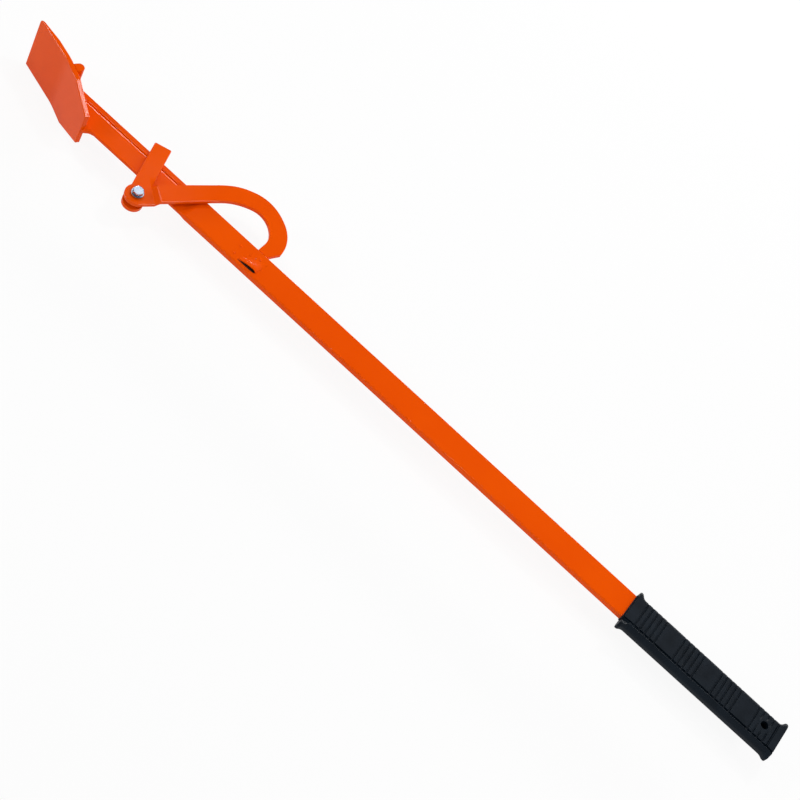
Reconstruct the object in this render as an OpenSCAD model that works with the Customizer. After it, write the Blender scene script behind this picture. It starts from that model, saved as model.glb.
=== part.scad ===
// Felling lever with a turning hook: a steel bar and tube with a blade at the head,
// a rubber grip at the other end and a hook that turns on a bolt beside the bar.
// The lever lies on its side. +X runs from the blade to the grip, +Y is the side that
// the hook curves to, and +Z points up, away from the surface it lies on.
// Lengths are in millimetres and angles in degrees.
// Inside the modules x = 0 is the mouth of the tube, y = 0 the centre line of the bar
// and z = 0 its middle plane. The last section moves the whole lever to its own origin.

/* [Overall] */
// Length from the edge of the blade to the end of the grip
overall_length = 1305; // [900:5:1500]

/* [Blade] */
// Width of the blade across its edge
blade_width = 92; // [70:1:120]
// Thickness of the blade plate
blade_thick = 6.5; // [5:0.5:9]
// Thickness left at the cutting edge
edge_thick = 1.6; // [1:0.1:2.5]
// Length of the bevel behind the edge
bevel_length = 38; // [20:1:55]
// Length of the nose, from the edge to the bend
nose_length = 68; // [56:1:85]
// Length of the neck, from the bend to the end of the blade
neck_length = 77; // [65:1:100]
// Distance from the bend to the shoulder, where the neck starts to narrow
shoulder_at = 31; // [26:1:38]
// Width of the blade at the end of the neck
root_width = 52; // [34:1:64]
// Angle of the nose to the bar
nose_angle = 18; // [12:0.5:22]
// Angle of the neck to the bar
neck_angle = 26.6; // [22:0.2:33]
// Size of the corner cuts at the edge
corner_cut = 2.5; // [1:0.5:6]

/* [Heel] */
// Width of the heel bar along the blade
heel_width = 14; // [10:0.5:20]
// Height of the heel bar above the back of the blade
heel_height = 12; // [9:0.5:18]
// Distance from the bend to the near side of the heel bar
heel_at = 6; // [3:0.5:9]

/* [Bar] */
// Width of the flat bar
bar_width = 40; // [32:1:50]
// Thickness of the flat bar
bar_thick = 5; // [4:0.5:8]
// Length of bar between the end of the blade and the tube
bar_reach = 174.4; // [150:0.2:220]
// How far the root corner of the blade stands out past the centre line
root_offset = 29.5; // [26:0.1:34]
// Distance of the lengthwise groove from the edge of the bar
groove_inset = 9; // [7:0.5:12]
// Width of the lengthwise groove
groove_width = 4; // [2:0.5:5]
// Depth of the lengthwise groove
groove_depth = 1.2; // [0.5:0.1:1.6]
// Length of the tongue of the bar inside the tube
tang_length = 62; // [40:1:68]
// Gap between that tongue and the inside of the tube
tang_gap = 0.2; // [0.1:0.05:0.5]

/* [Tube] */
// Width of the rectangular tube
tube_width = 40; // [36:1:50]
// Depth of the rectangular tube
tube_depth = 10; // [9.5:0.5:14]
// Wall of the tube
tube_wall = 2; // [1.5:0.1:2.2]
// Outer corner radius of the tube
tube_corner = 2; // [1:0.25:3]

/* [Pivot] */
// Distance of the pivot bolt behind the tube mouth
pivot_back = 61; // [54:0.5:75]
// Distance of the pivot bolt from the centre line
pivot_out = 49.3; // [44:0.1:56]
// Diameter of the bolt shank
bolt_dia = 8; // [6:1:10]
// Width of the bolt head and the nut across the flats
hex_flats = 13; // [12:0.5:17]
// Height of the bolt head
head_height = 5.3; // [4:0.1:8]
// Height of the lock nut
nut_height = 8; // [6:0.5:12]
// Length of thread that stands out of the nut
thread_show = 2.5; // [1:0.5:5]
// Outer diameter of the bush that the hook turns on
bush_dia = 12; // [11.5:0.5:16]
// Running clearance between bush and hook, on the radius
bush_clear = 0.05; // [0.02:0.01:0.1]
// Fit of the bolt in its holes, on the radius
bolt_fit = 0.1; // [0.05:0.05:0.3]
// How far the bush stands out of the hook
bush_proud = 1.2; // [0.3:0.1:2]
// Thickness of the washer under the bolt head
front_washer_thick = 2.2; // [1.2:0.1:3]
// Diameter of the washer under the bolt head
front_washer_dia = 17; // [14.5:0.5:20]
// Thickness of the washer under the nut
back_washer_thick = 1.6; // [1.2:0.1:3]
// Diameter of the washer under the nut
back_washer_dia = 17; // [16:0.5:24]
// Diameter of the ring between the two plates
ring_dia = 20; // [17:0.5:24]
// Axial play of the hook
axial_play = 0.3; // [0.2:0.05:0.5]

/* [Hook] */
// Thickness of the hook plate
hook_thick = 6; // [4:0.5:7]
// Radius of the eye of the hook about the bolt
eye_radius = 16; // [14.5:0.25:19]
// Width of the curve and of the far end of the arm
arm_width = 24.7; // [20:0.1:28]
// Width of the arm beside the bolt
arm_root_width = 26; // [21:0.5:29]
// Direction of the arm, from the centre line of the bar
arm_angle = 54.6; // [50:0.2:58]
// Distance from the bolt to the start of the step in the arm
step_at = 21.5; // [18:0.5:26]
// Length of the step along the arm
step_run = 6.2; // [4:0.2:10]
// Height of the step
step_rise = 5; // [4:0.25:7]
// Length of the straight lower edge of the arm, from the bolt
arm_length = 112; // [106:0.5:122]
// Inner radius of the first, wide curve
wide_radius = 93; // [80:1:110]
// Angle of the first, wide curve
wide_turn = 26.4; // [22:0.2:32]
// Inner radius of the second, tight curve
tight_radius = 29.5; // [26:0.5:36]
// Length of the cut on the outer side of the tip, along the bar
tip_cut = 9.4; // [6:0.2:14]
// Height of that cut above the tube
tip_cut_height = 19; // [12:0.5:22]
// Gap between the tip and the tube
tip_gap = 0.4; // [0.3:0.1:1]
// Distance from the tube mouth to where the arm starts to lean back
lean_from = 16; // [14:1:30]
// Distance from the tube mouth to where the leaning part ends
lean_to = 84; // [70:1:88]
// Width of the thumb tab
tab_width = 23.7; // [18:0.1:26]
// Length of the thumb tab, from the bolt
tab_length = 90.5; // [70:0.5:95]
// Direction of the thumb tab, from the centre line of the bar
tab_angle = 108.4; // [104:0.2:114]

/* [Pivot plate] */
// Thickness of the plate that carries the bolt behind the bar
pivot_plate_thick = 6; // [4:0.5:8]
// Width of the strap of that plate
strap_width = 23.4; // [18:0.1:26]
// How far that strap reaches past the centre line
strap_reach = 12; // [4:0.5:15]
// Radius of the round end of that plate
strap_eye = 14.2; // [12.5:0.1:18]
// How far the centre of that round end lies beyond the bolt
strap_drop = 2.8; // [0:0.1:4]
// Leg of the weld seams
seam_leg = 3; // [2:0.25:4]

/* [Catch] */
// Distance from the tube mouth to the catch plate
catch_at = 76; // [74:1:100]
// Length of the catch plate
catch_length = 38; // [28:1:50]
// Width of the catch plate
catch_width = 22; // [16:0.5:24]
// Distance of the open side of the catch from the centre line
catch_side = 14; // [10:0.5:15]
// Thickness of the catch plate
catch_thick = 1.8; // [1.2:0.1:2.5]
// Height of the mouth of the catch above the tube
catch_rise = 4; // [3:0.25:6]
// Diameter of a weld spot
spot_dia = 3.4; // [2:0.2:5]

/* [Grip] */
// Length of the grip
grip_length = 250; // [200:2:300]
// Rubber on the wide faces of the tube
grip_wall = 4; // [2.5:0.25:6]
// Rubber on the hook side of the tube
grip_side = 2.6; // [2:0.2:5]
// Rubber on the finger side of the tube
grip_swell = 9; // [4:0.5:10]
// Rubber over the end of the tube
grip_end = 7; // [4:0.5:12]
// Height of the collars at both ends
collar_height = 5.5; // [2:0.5:7]
// Length of each collar
collar_length = 4; // [3:0.5:8]
// Length of the flare beside each collar
flare_length = 8; // [4:0.5:12]
// Number of ribbed fields
rib_fields = 4; // [1:1:4]
// Grooves in each ribbed field
rib_count = 4; // [1:1:5]
// Distance between two grooves
rib_pitch = 10.3; // [8:0.1:11]
// Distance between two ribbed fields
field_pitch = 63; // [60:1:72]
// Distance from the mouth of the grip to the first groove
rib_start = 17; // [15:1:24]
// Width of a groove
rib_groove = 2; // [1:0.25:3]
// Depth of a groove
rib_depth = 1; // [0.5:0.1:1.6]
// Diameter of the hanging hole
hang_dia = 11; // [8:0.5:14]
// Distance of the hanging hole from the end of the grip
hang_from_end = 28; // [22:0.5:40]
// Distance of the hanging hole from the centre line
hang_side = 2; // [-4:0.5:6]

/* [Hidden] */
$fn = 96;
eps = 0.01;
far = 400;

// Blade points, on the face away from the heel
function along(angle) = [cos(angle), sin(angle)];
neck_dir = along(-neck_angle);
nose_dir = along(180 - nose_angle);
neck_out = along(90 - neck_angle);
nose_out = along(90 - nose_angle);
root_pt = [-bar_reach, -root_offset];
bend_pt = root_pt - neck_length * neck_dir;
tip_pt = bend_pt + nose_length * nose_dir;
bend_back = bend_pt + blade_thick * (nose_out + neck_out) / (1 + nose_out * neck_out);
root_back = root_pt + blade_thick * neck_out;

// Heel bar, seated on the back of the neck
heel_near = bend_back + heel_at * neck_dir;
heel_far = heel_near + heel_width * neck_dir;

// The bar ends on the back of the neck and against the heel bar
neck_slope = neck_dir[1] / neck_dir[0];
bar_half = bar_width / 2;
bar_low_x = root_back[0] + (-bar_half - root_back[1]) / neck_slope;
bar_high_x = heel_far[0] + (bar_half - heel_far[1]) * neck_out[0] / neck_out[1];
bar_front = bar_thick / 2;

// Tube and grip
tube_half = tube_width / 2;
tube_front = tube_depth / 2;
end_x = tip_pt[0] + overall_length;
grip_x = end_x - grip_length;
tube_end = end_x - grip_end;
tang_width = tube_width - 2 * tube_wall - 2 * tang_gap;
tang_thick = min(bar_thick, tube_depth - 2 * tube_wall - 2 * tang_gap);
hang_x = end_x - hang_from_end;

// Levels of the pivot, from the back of the bar to the top of the bolt
pivot_x = -pivot_back;
pivot_y = -pivot_out;
hook_low = bar_front + axial_play;
hook_top = hook_low + hook_thick;
bush_top = hook_top + bush_proud;
head_low = bush_top + front_washer_thick;
head_top = head_low + head_height;
plate_back = -bar_front - pivot_plate_thick;
washer_back = plate_back - back_washer_thick;
nut_back = washer_back - nut_height;
bolt_end = nut_back - thread_show;

// Hook outline: the lower edge of the arm runs nearly along the rim of the eye
arc_step = 4;
arm_inset = 0.05;
arm_dir = along(arm_angle);
arm_side = along(arm_angle - 90);
arm_low = [pivot_x, pivot_y] + (eye_radius - arm_inset) * arm_side;
arm_high = arm_low - arm_root_width * arm_side;
curve_start = arm_low + arm_length * arm_dir;
wide_centre = curve_start + wide_radius * arm_side;
tight_heading = arm_angle - wide_turn;
wide_end = wide_centre + wide_radius * along(tight_heading + 90);
tight_centre = wide_end + tight_radius * along(tight_heading - 90);
inner_x = tight_centre[0] + tight_radius;
outer_x = inner_x + arm_width;
tip_y = tube_half + tip_gap;
cut_y = tip_y + tip_cut_height;
cut_rise = (cut_y - tight_centre[1]) / (tight_radius + arm_width);
cut_angle = cut_rise > 0 ? asin(cut_rise) : 0;
hook_high = tight_centre[1] + tight_radius + arm_width;

// Own origin: middle of the box round the lever, on the side it lies on
low_y = min(pivot_y - eye_radius, pivot_y - strap_drop - strap_eye);
origin_shift = [overall_length / 2 - end_x, -(hook_high + low_y) / 2, blade_width / 2];

// Outlines in the plane of the bar

module blade_outline() {
    polygon([
        tip_pt, bend_pt, root_pt, root_back, bend_back,
        tip_pt - bevel_length * nose_dir + blade_thick * nose_out,
        tip_pt + edge_thick * nose_out
    ]);
}

module heel_outline() {
    rounding = heel_width / 2;
    translate(heel_near)
        rotate(-neck_angle)
            intersection() {
                square([heel_width, heel_height]);
                union() {
                    square([heel_width, heel_height - rounding]);
                    translate([rounding, heel_height - rounding]) circle(r = rounding);
                }
            }
}

module bar_outline() {
    polygon([
        [0, -bar_half], [0, bar_half], [bar_high_x, bar_half], heel_far, [bar_low_x, -bar_half]
    ]);
    translate([-eps, -tang_width / 2]) square([tang_length + eps, tang_width]);
}

module tab_outline() {
    translate([pivot_x, pivot_y])
        rotate(tab_angle - 90)
            translate([-tab_width / 2, 0])
                square([tab_width, tab_length]);
}

// Points of an arc without its last one, so that the next stretch starts there
function arc(centre, radius, from_angle, to_angle) =
    let (count = ceil(abs(to_angle - from_angle) / arc_step))
    [for (i = [0:count - 1]) centre + radius * along(from_angle + (to_angle - from_angle) * i / count)];

// The arm and the curve, without the eye and the tab
module hook_outline() {
    outer_wide = wide_radius + arm_width;
    outer_tight = tight_radius + arm_width;
    polygon(concat(
        [arm_low],
        arc(wide_centre, wide_radius, arm_angle + 90, tight_heading + 90),
        arc(tight_centre, tight_radius, tight_heading + 90, 0),
        [[inner_x, tight_centre[1]], [inner_x, tip_y], [outer_x - tip_cut, tip_y]],
        [if (cut_y < tight_centre[1]) [outer_x, cut_y]],
        arc(tight_centre, outer_tight, cut_angle, tight_heading + 90),
        arc(wide_centre, outer_wide, tight_heading + 90, arm_angle + 90),
        [curve_start - arm_width * arm_side, arm_high]
    ));
}

module strap_outline() {
    translate([pivot_x, pivot_y - strap_drop]) circle(r = strap_eye);
    intersection() {
        translate([pivot_x, pivot_y])
            rotate(tab_angle - 90)
                translate([-strap_width / 2, -strap_drop])
                    square([strap_width, far]);
        translate([pivot_x - far, pivot_y - far]) square([2 * far, far - pivot_y + strap_reach]);
    }
}

// A rectangle with four round corners, centred
module round_rect(width, height, corner) {
    square([width - 2 * corner, height], center = true);
    square([width, height - 2 * corner], center = true);
    for (sx = [-1, 1], sy = [-1, 1])
        translate([sx * (width / 2 - corner), sy * (height / 2 - corner)])
            circle(r = corner);
}

// Runs an outline drawn in Y and Z along X
module run_x(from_x, length) {
    translate([from_x, 0, 0])
        rotate([90, 0, 90])
            linear_extrude(height = length)
                children();
}

// A round bar or tube about the pivot axis
module at_pivot(low, high, outer, inner = 0) {
    translate([pivot_x, pivot_y, low])
        difference() {
            cylinder(h = high - low, d = outer);
            if (inner > 0)
                translate([0, 0, -1]) cylinder(h = high - low + 2, d = inner);
        }
}

// A fillet seam along a line at height z. across is its leg to the left of the line, up its height.
module seam(from_pt, to_pt, z, across, up) {
    run = to_pt - from_pt;
    translate([from_pt[0], from_pt[1], z])
        rotate([90, 0, 90 + atan2(run[1], run[0])])
            linear_extrude(height = norm(run))
                polygon([[0, 0], [across, 0], [across * 0.4, up * 0.75], [0, up]]);
}

// Blade and heel

module blade() {
    half = blade_width / 2;
    past_root = 20;
    narrowing = (half - root_width / 2) / (neck_length - shoulder_at);
    end_half = root_width / 2 - past_root * narrowing;
    cut_shift = corner_cut * (sqrt(2) - 0.5);
    color("orangered")
        difference() {
            intersection() {
                linear_extrude(height = blade_width, center = true) blade_outline();
                translate([bend_pt[0], bend_pt[1], 0])
                    rotate([90, 0, -neck_angle])
                        linear_extrude(height = far, center = true)
                            polygon([
                                [-far, -half], [shoulder_at, -half],
                                [neck_length + past_root, -end_half],
                                [neck_length + past_root, end_half],
                                [shoulder_at, half], [-far, half]
                            ]);
            }
            for (side = [-1, 1])
                translate([tip_pt[0], tip_pt[1], side * half])
                    rotate([0, 0, -nose_angle])
                        translate([-cut_shift, 0, side * cut_shift])
                            rotate([0, 45, 0])
                                cube([4 * corner_cut, far, 4 * corner_cut], center = true);
        }
}

module heel_bar() {
    color("orangered")
        linear_extrude(height = blade_width, center = true) heel_outline();
}

// Seams on both faces of the bar where it meets the blade and the heel bar,
// and a hollow fillet in the corner below the bar
module blade_welds() {
    low_corner = [bar_low_x, -bar_half];
    toe = [root_back[0] + 6, -bar_half];
    hollow = (root_back + toe + 0.6 * low_corner) / 2.6;
    color("orangered") {
        linear_extrude(height = bar_thick, center = true)
            polygon([low_corner, root_back, hollow, toe]);
        for (side = [-1, 1]) {
            seam(heel_far + 1.2 * seam_leg * neck_dir, low_corner - 0.5 * neck_dir,
                side * bar_front, seam_leg, side * seam_leg);
            seam(heel_far, heel_far + (heel_height - heel_width / 2) * neck_out,
                side * bar_front, -seam_leg, side * seam_leg);
        }
    }
}

// Bar and tube

module upper_bar() {
    groove_y = bar_half - groove_inset;
    color("orangered")
        difference() {
            linear_extrude(height = bar_thick, center = true) bar_outline();
            for (side = [-1, 1])
                run_x(bar_high_x - far, far - bar_high_x)
                    polygon([
                        [groove_y - groove_width / 2, side * bar_front],
                        [groove_y - groove_width / 2, side * (bar_front + 1)],
                        [groove_y + groove_width / 2, side * (bar_front + 1)],
                        [groove_y + groove_width / 2, side * bar_front],
                        [groove_y + groove_width / 6, side * (bar_front - groove_depth)],
                        [groove_y - groove_width / 6, side * (bar_front - groove_depth)]
                    ]);
            if (tang_thick < bar_thick)
                for (side = [-1, 1])
                    translate([0, -far / 2, side * (tang_thick / 2 + far / 2) - far / 2])
                        cube(far);
        }
}

module main_tube() {
    color("orangered")
        difference() {
            run_x(0, tube_end) round_rect(tube_width, tube_depth, tube_corner);
            run_x(-1, tube_end + 2)
                square([tube_width - 2 * tube_wall, tube_depth - 2 * tube_wall], center = true);
            hang_bore();
        }
}

// Fillet seams at the mouth of the tube, one on each face of the bar
module mouth_welds() {
    rise = tube_front - bar_front;
    color("orangered")
        for (side = [-1, 1])
            seam([0, -bar_half + tube_corner], [0, bar_half - tube_corner],
                side * bar_front, rise, side * (rise - 0.2));
}

// Pivot

module pivot_plate() {
    color("orangered")
        difference() {
            translate([0, 0, plate_back])
                linear_extrude(height = pivot_plate_thick) strap_outline();
            at_pivot(plate_back - 1, -bar_front + 1, bolt_dia + 2 * bolt_fit);
        }
}

// Seams along both sides of the strap, on the back of the bar
module pivot_plate_welds() {
    tab_dir = along(tab_angle);
    tab_side = along(tab_angle - 90);
    color("orangered")
        for (side = [-1, 1]) {
            edge = [pivot_x, pivot_y] + side * strap_width / 2 * tab_side;
            low = edge + tab_dir * (3 - bar_half - edge[1]) / tab_dir[1];
            high = edge + tab_dir * (strap_reach - 3 - edge[1]) / tab_dir[1];
            seam(low, high, -bar_front, -side * seam_leg, -seam_leg);
        }
}

module pivot_bolt() {
    color("silver") {
        at_pivot(bolt_end, head_low + eps, bolt_dia);
        translate([pivot_x, pivot_y, head_low])
            cylinder(h = head_height, r = hex_flats / sqrt(3), $fn = 6);
    }
}

module pivot_bush() {
    color("silver")
        at_pivot(-bar_front, bush_top, bush_dia, bolt_dia + 2 * bolt_fit);
}

module spacer_ring() {
    color("dimgray")
        at_pivot(-bar_front, bar_front, ring_dia, bush_dia + 2 * bolt_fit);
}

module front_washer() {
    color("silver")
        at_pivot(bush_top, head_low, front_washer_dia, bolt_dia + 2 * bolt_fit);
}

module back_washer() {
    color("silver")
        at_pivot(washer_back, plate_back, back_washer_dia, bolt_dia + 2 * bolt_fit);
}

module lock_nut() {
    color("silver")
        difference() {
            union() {
                translate([pivot_x, pivot_y, nut_back + nut_height / 4])
                    cylinder(h = nut_height * 3 / 4, r = hex_flats / sqrt(3), $fn = 6);
                at_pivot(nut_back, nut_back + nut_height / 2, hex_flats - 1);
            }
            at_pivot(nut_back - 1, washer_back + 1, bolt_dia + 2 * bolt_fit);
        }
}

// Turning hook

// Side view of the arm: it starts beside the eye and rises one step
module step_sheet() {
    translate([pivot_x, pivot_y, 0])
        rotate([90, 0, arm_angle - 1.7])
            linear_extrude(height = 2 * far, center = true)
                polygon([
                    [-far, hook_low], [step_at, hook_low], [step_at + step_run, hook_low + step_rise],
                    [2 * far, hook_low + step_rise], [2 * far, hook_top + step_rise],
                    [step_at + step_run, hook_top + step_rise], [step_at, hook_top], [-far, hook_top]
                ]);
}

// Side view of the lean: past the tube the arm comes down beside its middle plane
module lean_sheet() {
    rotate([90, 0, 0])
        linear_extrude(height = 2 * far, center = true)
            polygon([
                [lean_from, hook_low + step_rise], [lean_to, -hook_thick / 2],
                [far, -hook_thick / 2], [far, hook_thick / 2],
                [lean_to, hook_thick / 2], [lean_from, hook_top + step_rise]
            ]);
}

module turning_hook() {
    color("orangered")
        difference() {
            union() {
                translate([0, 0, hook_low])
                    linear_extrude(height = hook_thick) {
                        translate([pivot_x, pivot_y]) circle(r = eye_radius);
                        tab_outline();
                    }
                intersection() {
                    translate([0, 0, -far / 2]) linear_extrude(height = far) hook_outline();
                    step_sheet();
                    translate([lean_from - far, -far, -far]) cube([far, 2 * far, 2 * far]);
                }
                intersection() {
                    translate([0, 0, -far / 2]) linear_extrude(height = far) hook_outline();
                    lean_sheet();
                }
            }
            at_pivot(hook_low - 1, hook_top + 1, bush_dia + 2 * bush_clear);
        }
}

// Catch on the face of the tube

// Outline of the pressed plate seen from the side, and of the space below it
module catch_sheet(filled) {
    high_x = catch_at + catch_length;
    inner = [
        [high_x - 1, tube_front], [high_x - 2, tube_front + catch_rise - 1],
        [high_x - 6, tube_front + catch_rise], [catch_at, tube_front]
    ];
    outer = [
        [catch_at, tube_front + catch_thick], [high_x - 5, tube_front + catch_rise + catch_thick],
        [high_x + catch_thick - 2, tube_front + catch_rise + catch_thick - 1],
        [high_x + catch_thick - 1, tube_front]
    ];
    polygon(filled ? concat(outer, [[catch_at, tube_front]]) : concat(outer, inner));
}

// A pressed plate: closed on the hook side, open and rising on the other side
module catch_plate() {
    wall_y = catch_width - catch_side;
    color("orangered")
        intersection() {
            union() {
                translate([0, wall_y, 0])
                    rotate([90, 0, 0])
                        linear_extrude(height = catch_width) catch_sheet(false);
                translate([0, wall_y, 0])
                    rotate([90, 0, 0])
                        linear_extrude(height = catch_width / 3) catch_sheet(true);
            }
            run_x(0, far)
                polygon([
                    [-catch_side, 0], [wall_y, 0], [wall_y, tube_front + 0.6],
                    [wall_y - 9, tube_front + catch_rise + catch_thick + 1],
                    [-catch_side, tube_front + catch_rise + catch_thick + 1]
                ]);
        }
}

module catch_welds() {
    wall_y = catch_width - catch_side;
    step = catch_length / 4;
    color("orangered")
        difference() {
            union() {
                for (y = [-catch_side + 3, wall_y - 4]) catch_spot(catch_at - 0.4, y);
                for (i = [1:3]) catch_spot(catch_at + i * step, wall_y + 0.4);
            }
            translate([catch_at, -catch_side, 0]) cube([catch_length + catch_thick, catch_width, far]);
        }
}

module catch_spot(x, y) {
    translate([x, y, tube_front]) cylinder(h = spot_dia * 0.35, d1 = spot_dia, d2 = spot_dia * 0.6);
}

// Grip

// Section of the rubber: thicker on the finger side, where its front edge is bevelled
module grip_section(extra = 0) {
    low = -tube_half - grip_swell - extra;
    high = tube_half + grip_side + extra;
    top = tube_front + grip_wall;
    difference() {
        translate([(low + high) / 2, 0]) round_rect(high - low, 2 * top, 5);
        polygon([[low - 1, top - 7], [low + 7, top + 1], [low - 1, top + 1]]);
    }
}

// Plan of both flares: full height at the collar, then down to the body
module flare_plan() {
    low = -tube_half - grip_swell;
    high = tube_half + grip_side;
    for (end = [[grip_x, 1], [end_x, -1]]) {
        x0 = end[0];
        x1 = x0 + end[1] * collar_length;
        x2 = x1 + end[1] * flare_length * 0.4;
        x3 = x1 + end[1] * flare_length;
        polygon([
            [x0, low - collar_height], [x0, high + collar_height], [x1, high + collar_height],
            [x2, high + collar_height * 0.3], [x3, high], [x3, low],
            [x2, low - collar_height * 0.3], [x1, low - collar_height]
        ]);
    }
}

module hang_bore() {
    translate([hang_x, hang_side, -far / 2]) cylinder(h = far, d = hang_dia);
}

module grip() {
    top = tube_front + grip_wall;
    color([0.1, 0.11, 0.13])
        difference() {
            union() {
                run_x(grip_x, grip_length) grip_section();
                intersection() {
                    run_x(grip_x, grip_length) grip_section(collar_height);
                    translate([0, 0, -far]) linear_extrude(height = 2 * far) flare_plan();
                }
            }
            run_x(grip_x - 1, tube_end - grip_x + 1)
                round_rect(tube_width, tube_depth, tube_corner);
            for (field = [0:rib_fields - 1], i = [0:rib_count - 1])
                translate([grip_x + rib_start + field * field_pitch + i * rib_pitch, -tube_half, top - rib_depth])
                    cube([rib_groove, tube_width + grip_side - 4, far]);
            hang_bore();
        }
}

translate(origin_shift) {
    blade();
    heel_bar();
    blade_welds();
    upper_bar();
    main_tube();
    mouth_welds();
    pivot_plate();
    pivot_plate_welds();
    pivot_bolt();
    pivot_bush();
    spacer_ring();
    front_washer();
    back_washer();
    lock_nut();
    turning_hook();
    catch_plate();
    catch_welds();
    grip();
}
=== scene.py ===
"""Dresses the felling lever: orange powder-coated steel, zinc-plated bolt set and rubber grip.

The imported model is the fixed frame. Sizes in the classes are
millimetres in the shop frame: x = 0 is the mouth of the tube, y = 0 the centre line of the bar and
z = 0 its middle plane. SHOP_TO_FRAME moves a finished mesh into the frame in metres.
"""

import logging
import math
from dataclasses import dataclass, field
from enum import Enum
from typing import Iterable, Sequence

import bmesh
import bpy
from bmesh.types import BMEdge, BMesh, BMFace, BMVert
from mathutils import Matrix, Vector, noise


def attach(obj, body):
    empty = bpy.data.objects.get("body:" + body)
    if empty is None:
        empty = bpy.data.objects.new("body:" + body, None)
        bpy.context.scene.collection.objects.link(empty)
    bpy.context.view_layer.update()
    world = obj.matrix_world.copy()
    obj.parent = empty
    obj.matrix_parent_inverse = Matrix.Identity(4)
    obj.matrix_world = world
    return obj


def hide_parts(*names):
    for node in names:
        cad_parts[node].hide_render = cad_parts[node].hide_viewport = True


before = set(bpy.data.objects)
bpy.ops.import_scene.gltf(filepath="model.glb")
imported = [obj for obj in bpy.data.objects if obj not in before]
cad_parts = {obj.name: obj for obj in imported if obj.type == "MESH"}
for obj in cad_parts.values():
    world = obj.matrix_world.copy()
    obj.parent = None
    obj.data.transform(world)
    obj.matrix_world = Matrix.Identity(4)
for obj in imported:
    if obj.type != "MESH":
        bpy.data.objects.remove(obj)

LOG = logging.getLogger("felling_lever")

SHOP_ORIGIN = Vector((-344.578, -11.3722, 46.0))
SHOP_TO_FRAME = Matrix.Diagonal((0.001, 0.001, 0.001, 1.0)) @ Matrix.Translation(SHOP_ORIGIN)
ALONG_X = Matrix(((0, 0, 1, 0), (1, 0, 0, 0), (0, 1, 0, 0), (0, 0, 0, 1)))
X, Y, Z = 0, 1, 2
X_AXIS, Y_AXIS = Vector((1, 0, 0)), Vector((0, 1, 0))
CUT_REACH = 0.0001

Grain = tuple[float, float, float]


class Slot(Enum):
    """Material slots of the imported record."""

    PAINT = "paint"
    ZINC = "zinc"
    RUBBER = "rubber"


class Body(Enum):
    """The two bodies that move against each other."""

    LEVER = "lever"
    HOOK = "hook"


# Finishes


class NodeBench:
    """A node tree with short calls for adding and joining nodes."""

    def __init__(self, owner: bpy.types.Material | bpy.types.World) -> None:
        """Opens the node tree of a material or a world.

        Args:
            owner: The new material or world.
        """
        owner.use_nodes = True
        self.owner = owner
        self.tree = owner.node_tree
        self.shader = self.tree.nodes.get("Principled BSDF")

    def add(self, kind: str, **values: object) -> bpy.types.Node:
        """Adds a node and sets its sockets or properties.

        Args:
            kind: Node type without its ShaderNode prefix.
            **values: Input sockets or properties by name, with _ for a space.

        Returns:
            The new node.
        """
        node = self.tree.nodes.new("ShaderNode" + kind)
        for key, value in values.items():
            socket = key.replace("_", " ")
            if socket in node.inputs:
                node.inputs[socket].default_value = value
            else:
                setattr(node, key, value)
        return node

    def join(self, out: bpy.types.NodeSocket, into: bpy.types.NodeSocket) -> None:
        """Links an output socket to an input socket."""
        self.tree.links.new(out, into)

    def noise(self, where: bpy.types.NodeSocket, grain: Grain) -> bpy.types.NodeSocket:
        """Adds a noise texture.

        Args:
            where: Coordinates.
            grain: Its scale, detail and roughness.

        Returns:
            Its value socket.
        """
        scale, detail, roughness = grain
        texture = self.add("TexNoise", Scale=scale, Detail=detail, Roughness=roughness)
        self.join(where, texture.inputs["Vector"])
        return texture.outputs["Fac"]

    def ramp(self, source: bpy.types.NodeSocket, low: tuple, high: tuple,
             start: float = 0.3, end: float = 0.7) -> bpy.types.NodeSocket:
        """Turns a value into a colour between two colours.

        Args:
            source: Value from 0 to 1.
            low: Colour at start.
            high: Colour at end.
            start: Position of low.
            end: Position of high.

        Returns:
            The colour socket.
        """
        node = self.add("ValToRGB")
        for stop, place, colour in zip(node.color_ramp.elements, (start, end), (low, high)):
            stop.position = place
            stop.color = colour
        self.join(source, node.inputs["Fac"])
        return node.outputs["Color"]


def srgb(red: float, green: float, blue: float) -> tuple:
    """Turns screen values into a linear colour.

    Args:
        red: Red from 0 to 255.
        green: Green from 0 to 255.
        blue: Blue from 0 to 255.

    Returns:
        The linear colour with full alpha.
    """
    shares = [value / 255 for value in (red, green, blue)]
    return (*(share / 12.92 if share <= 0.04045 else ((share + 0.055) / 1.055) ** 2.4
              for share in shares), 1.0)


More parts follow.
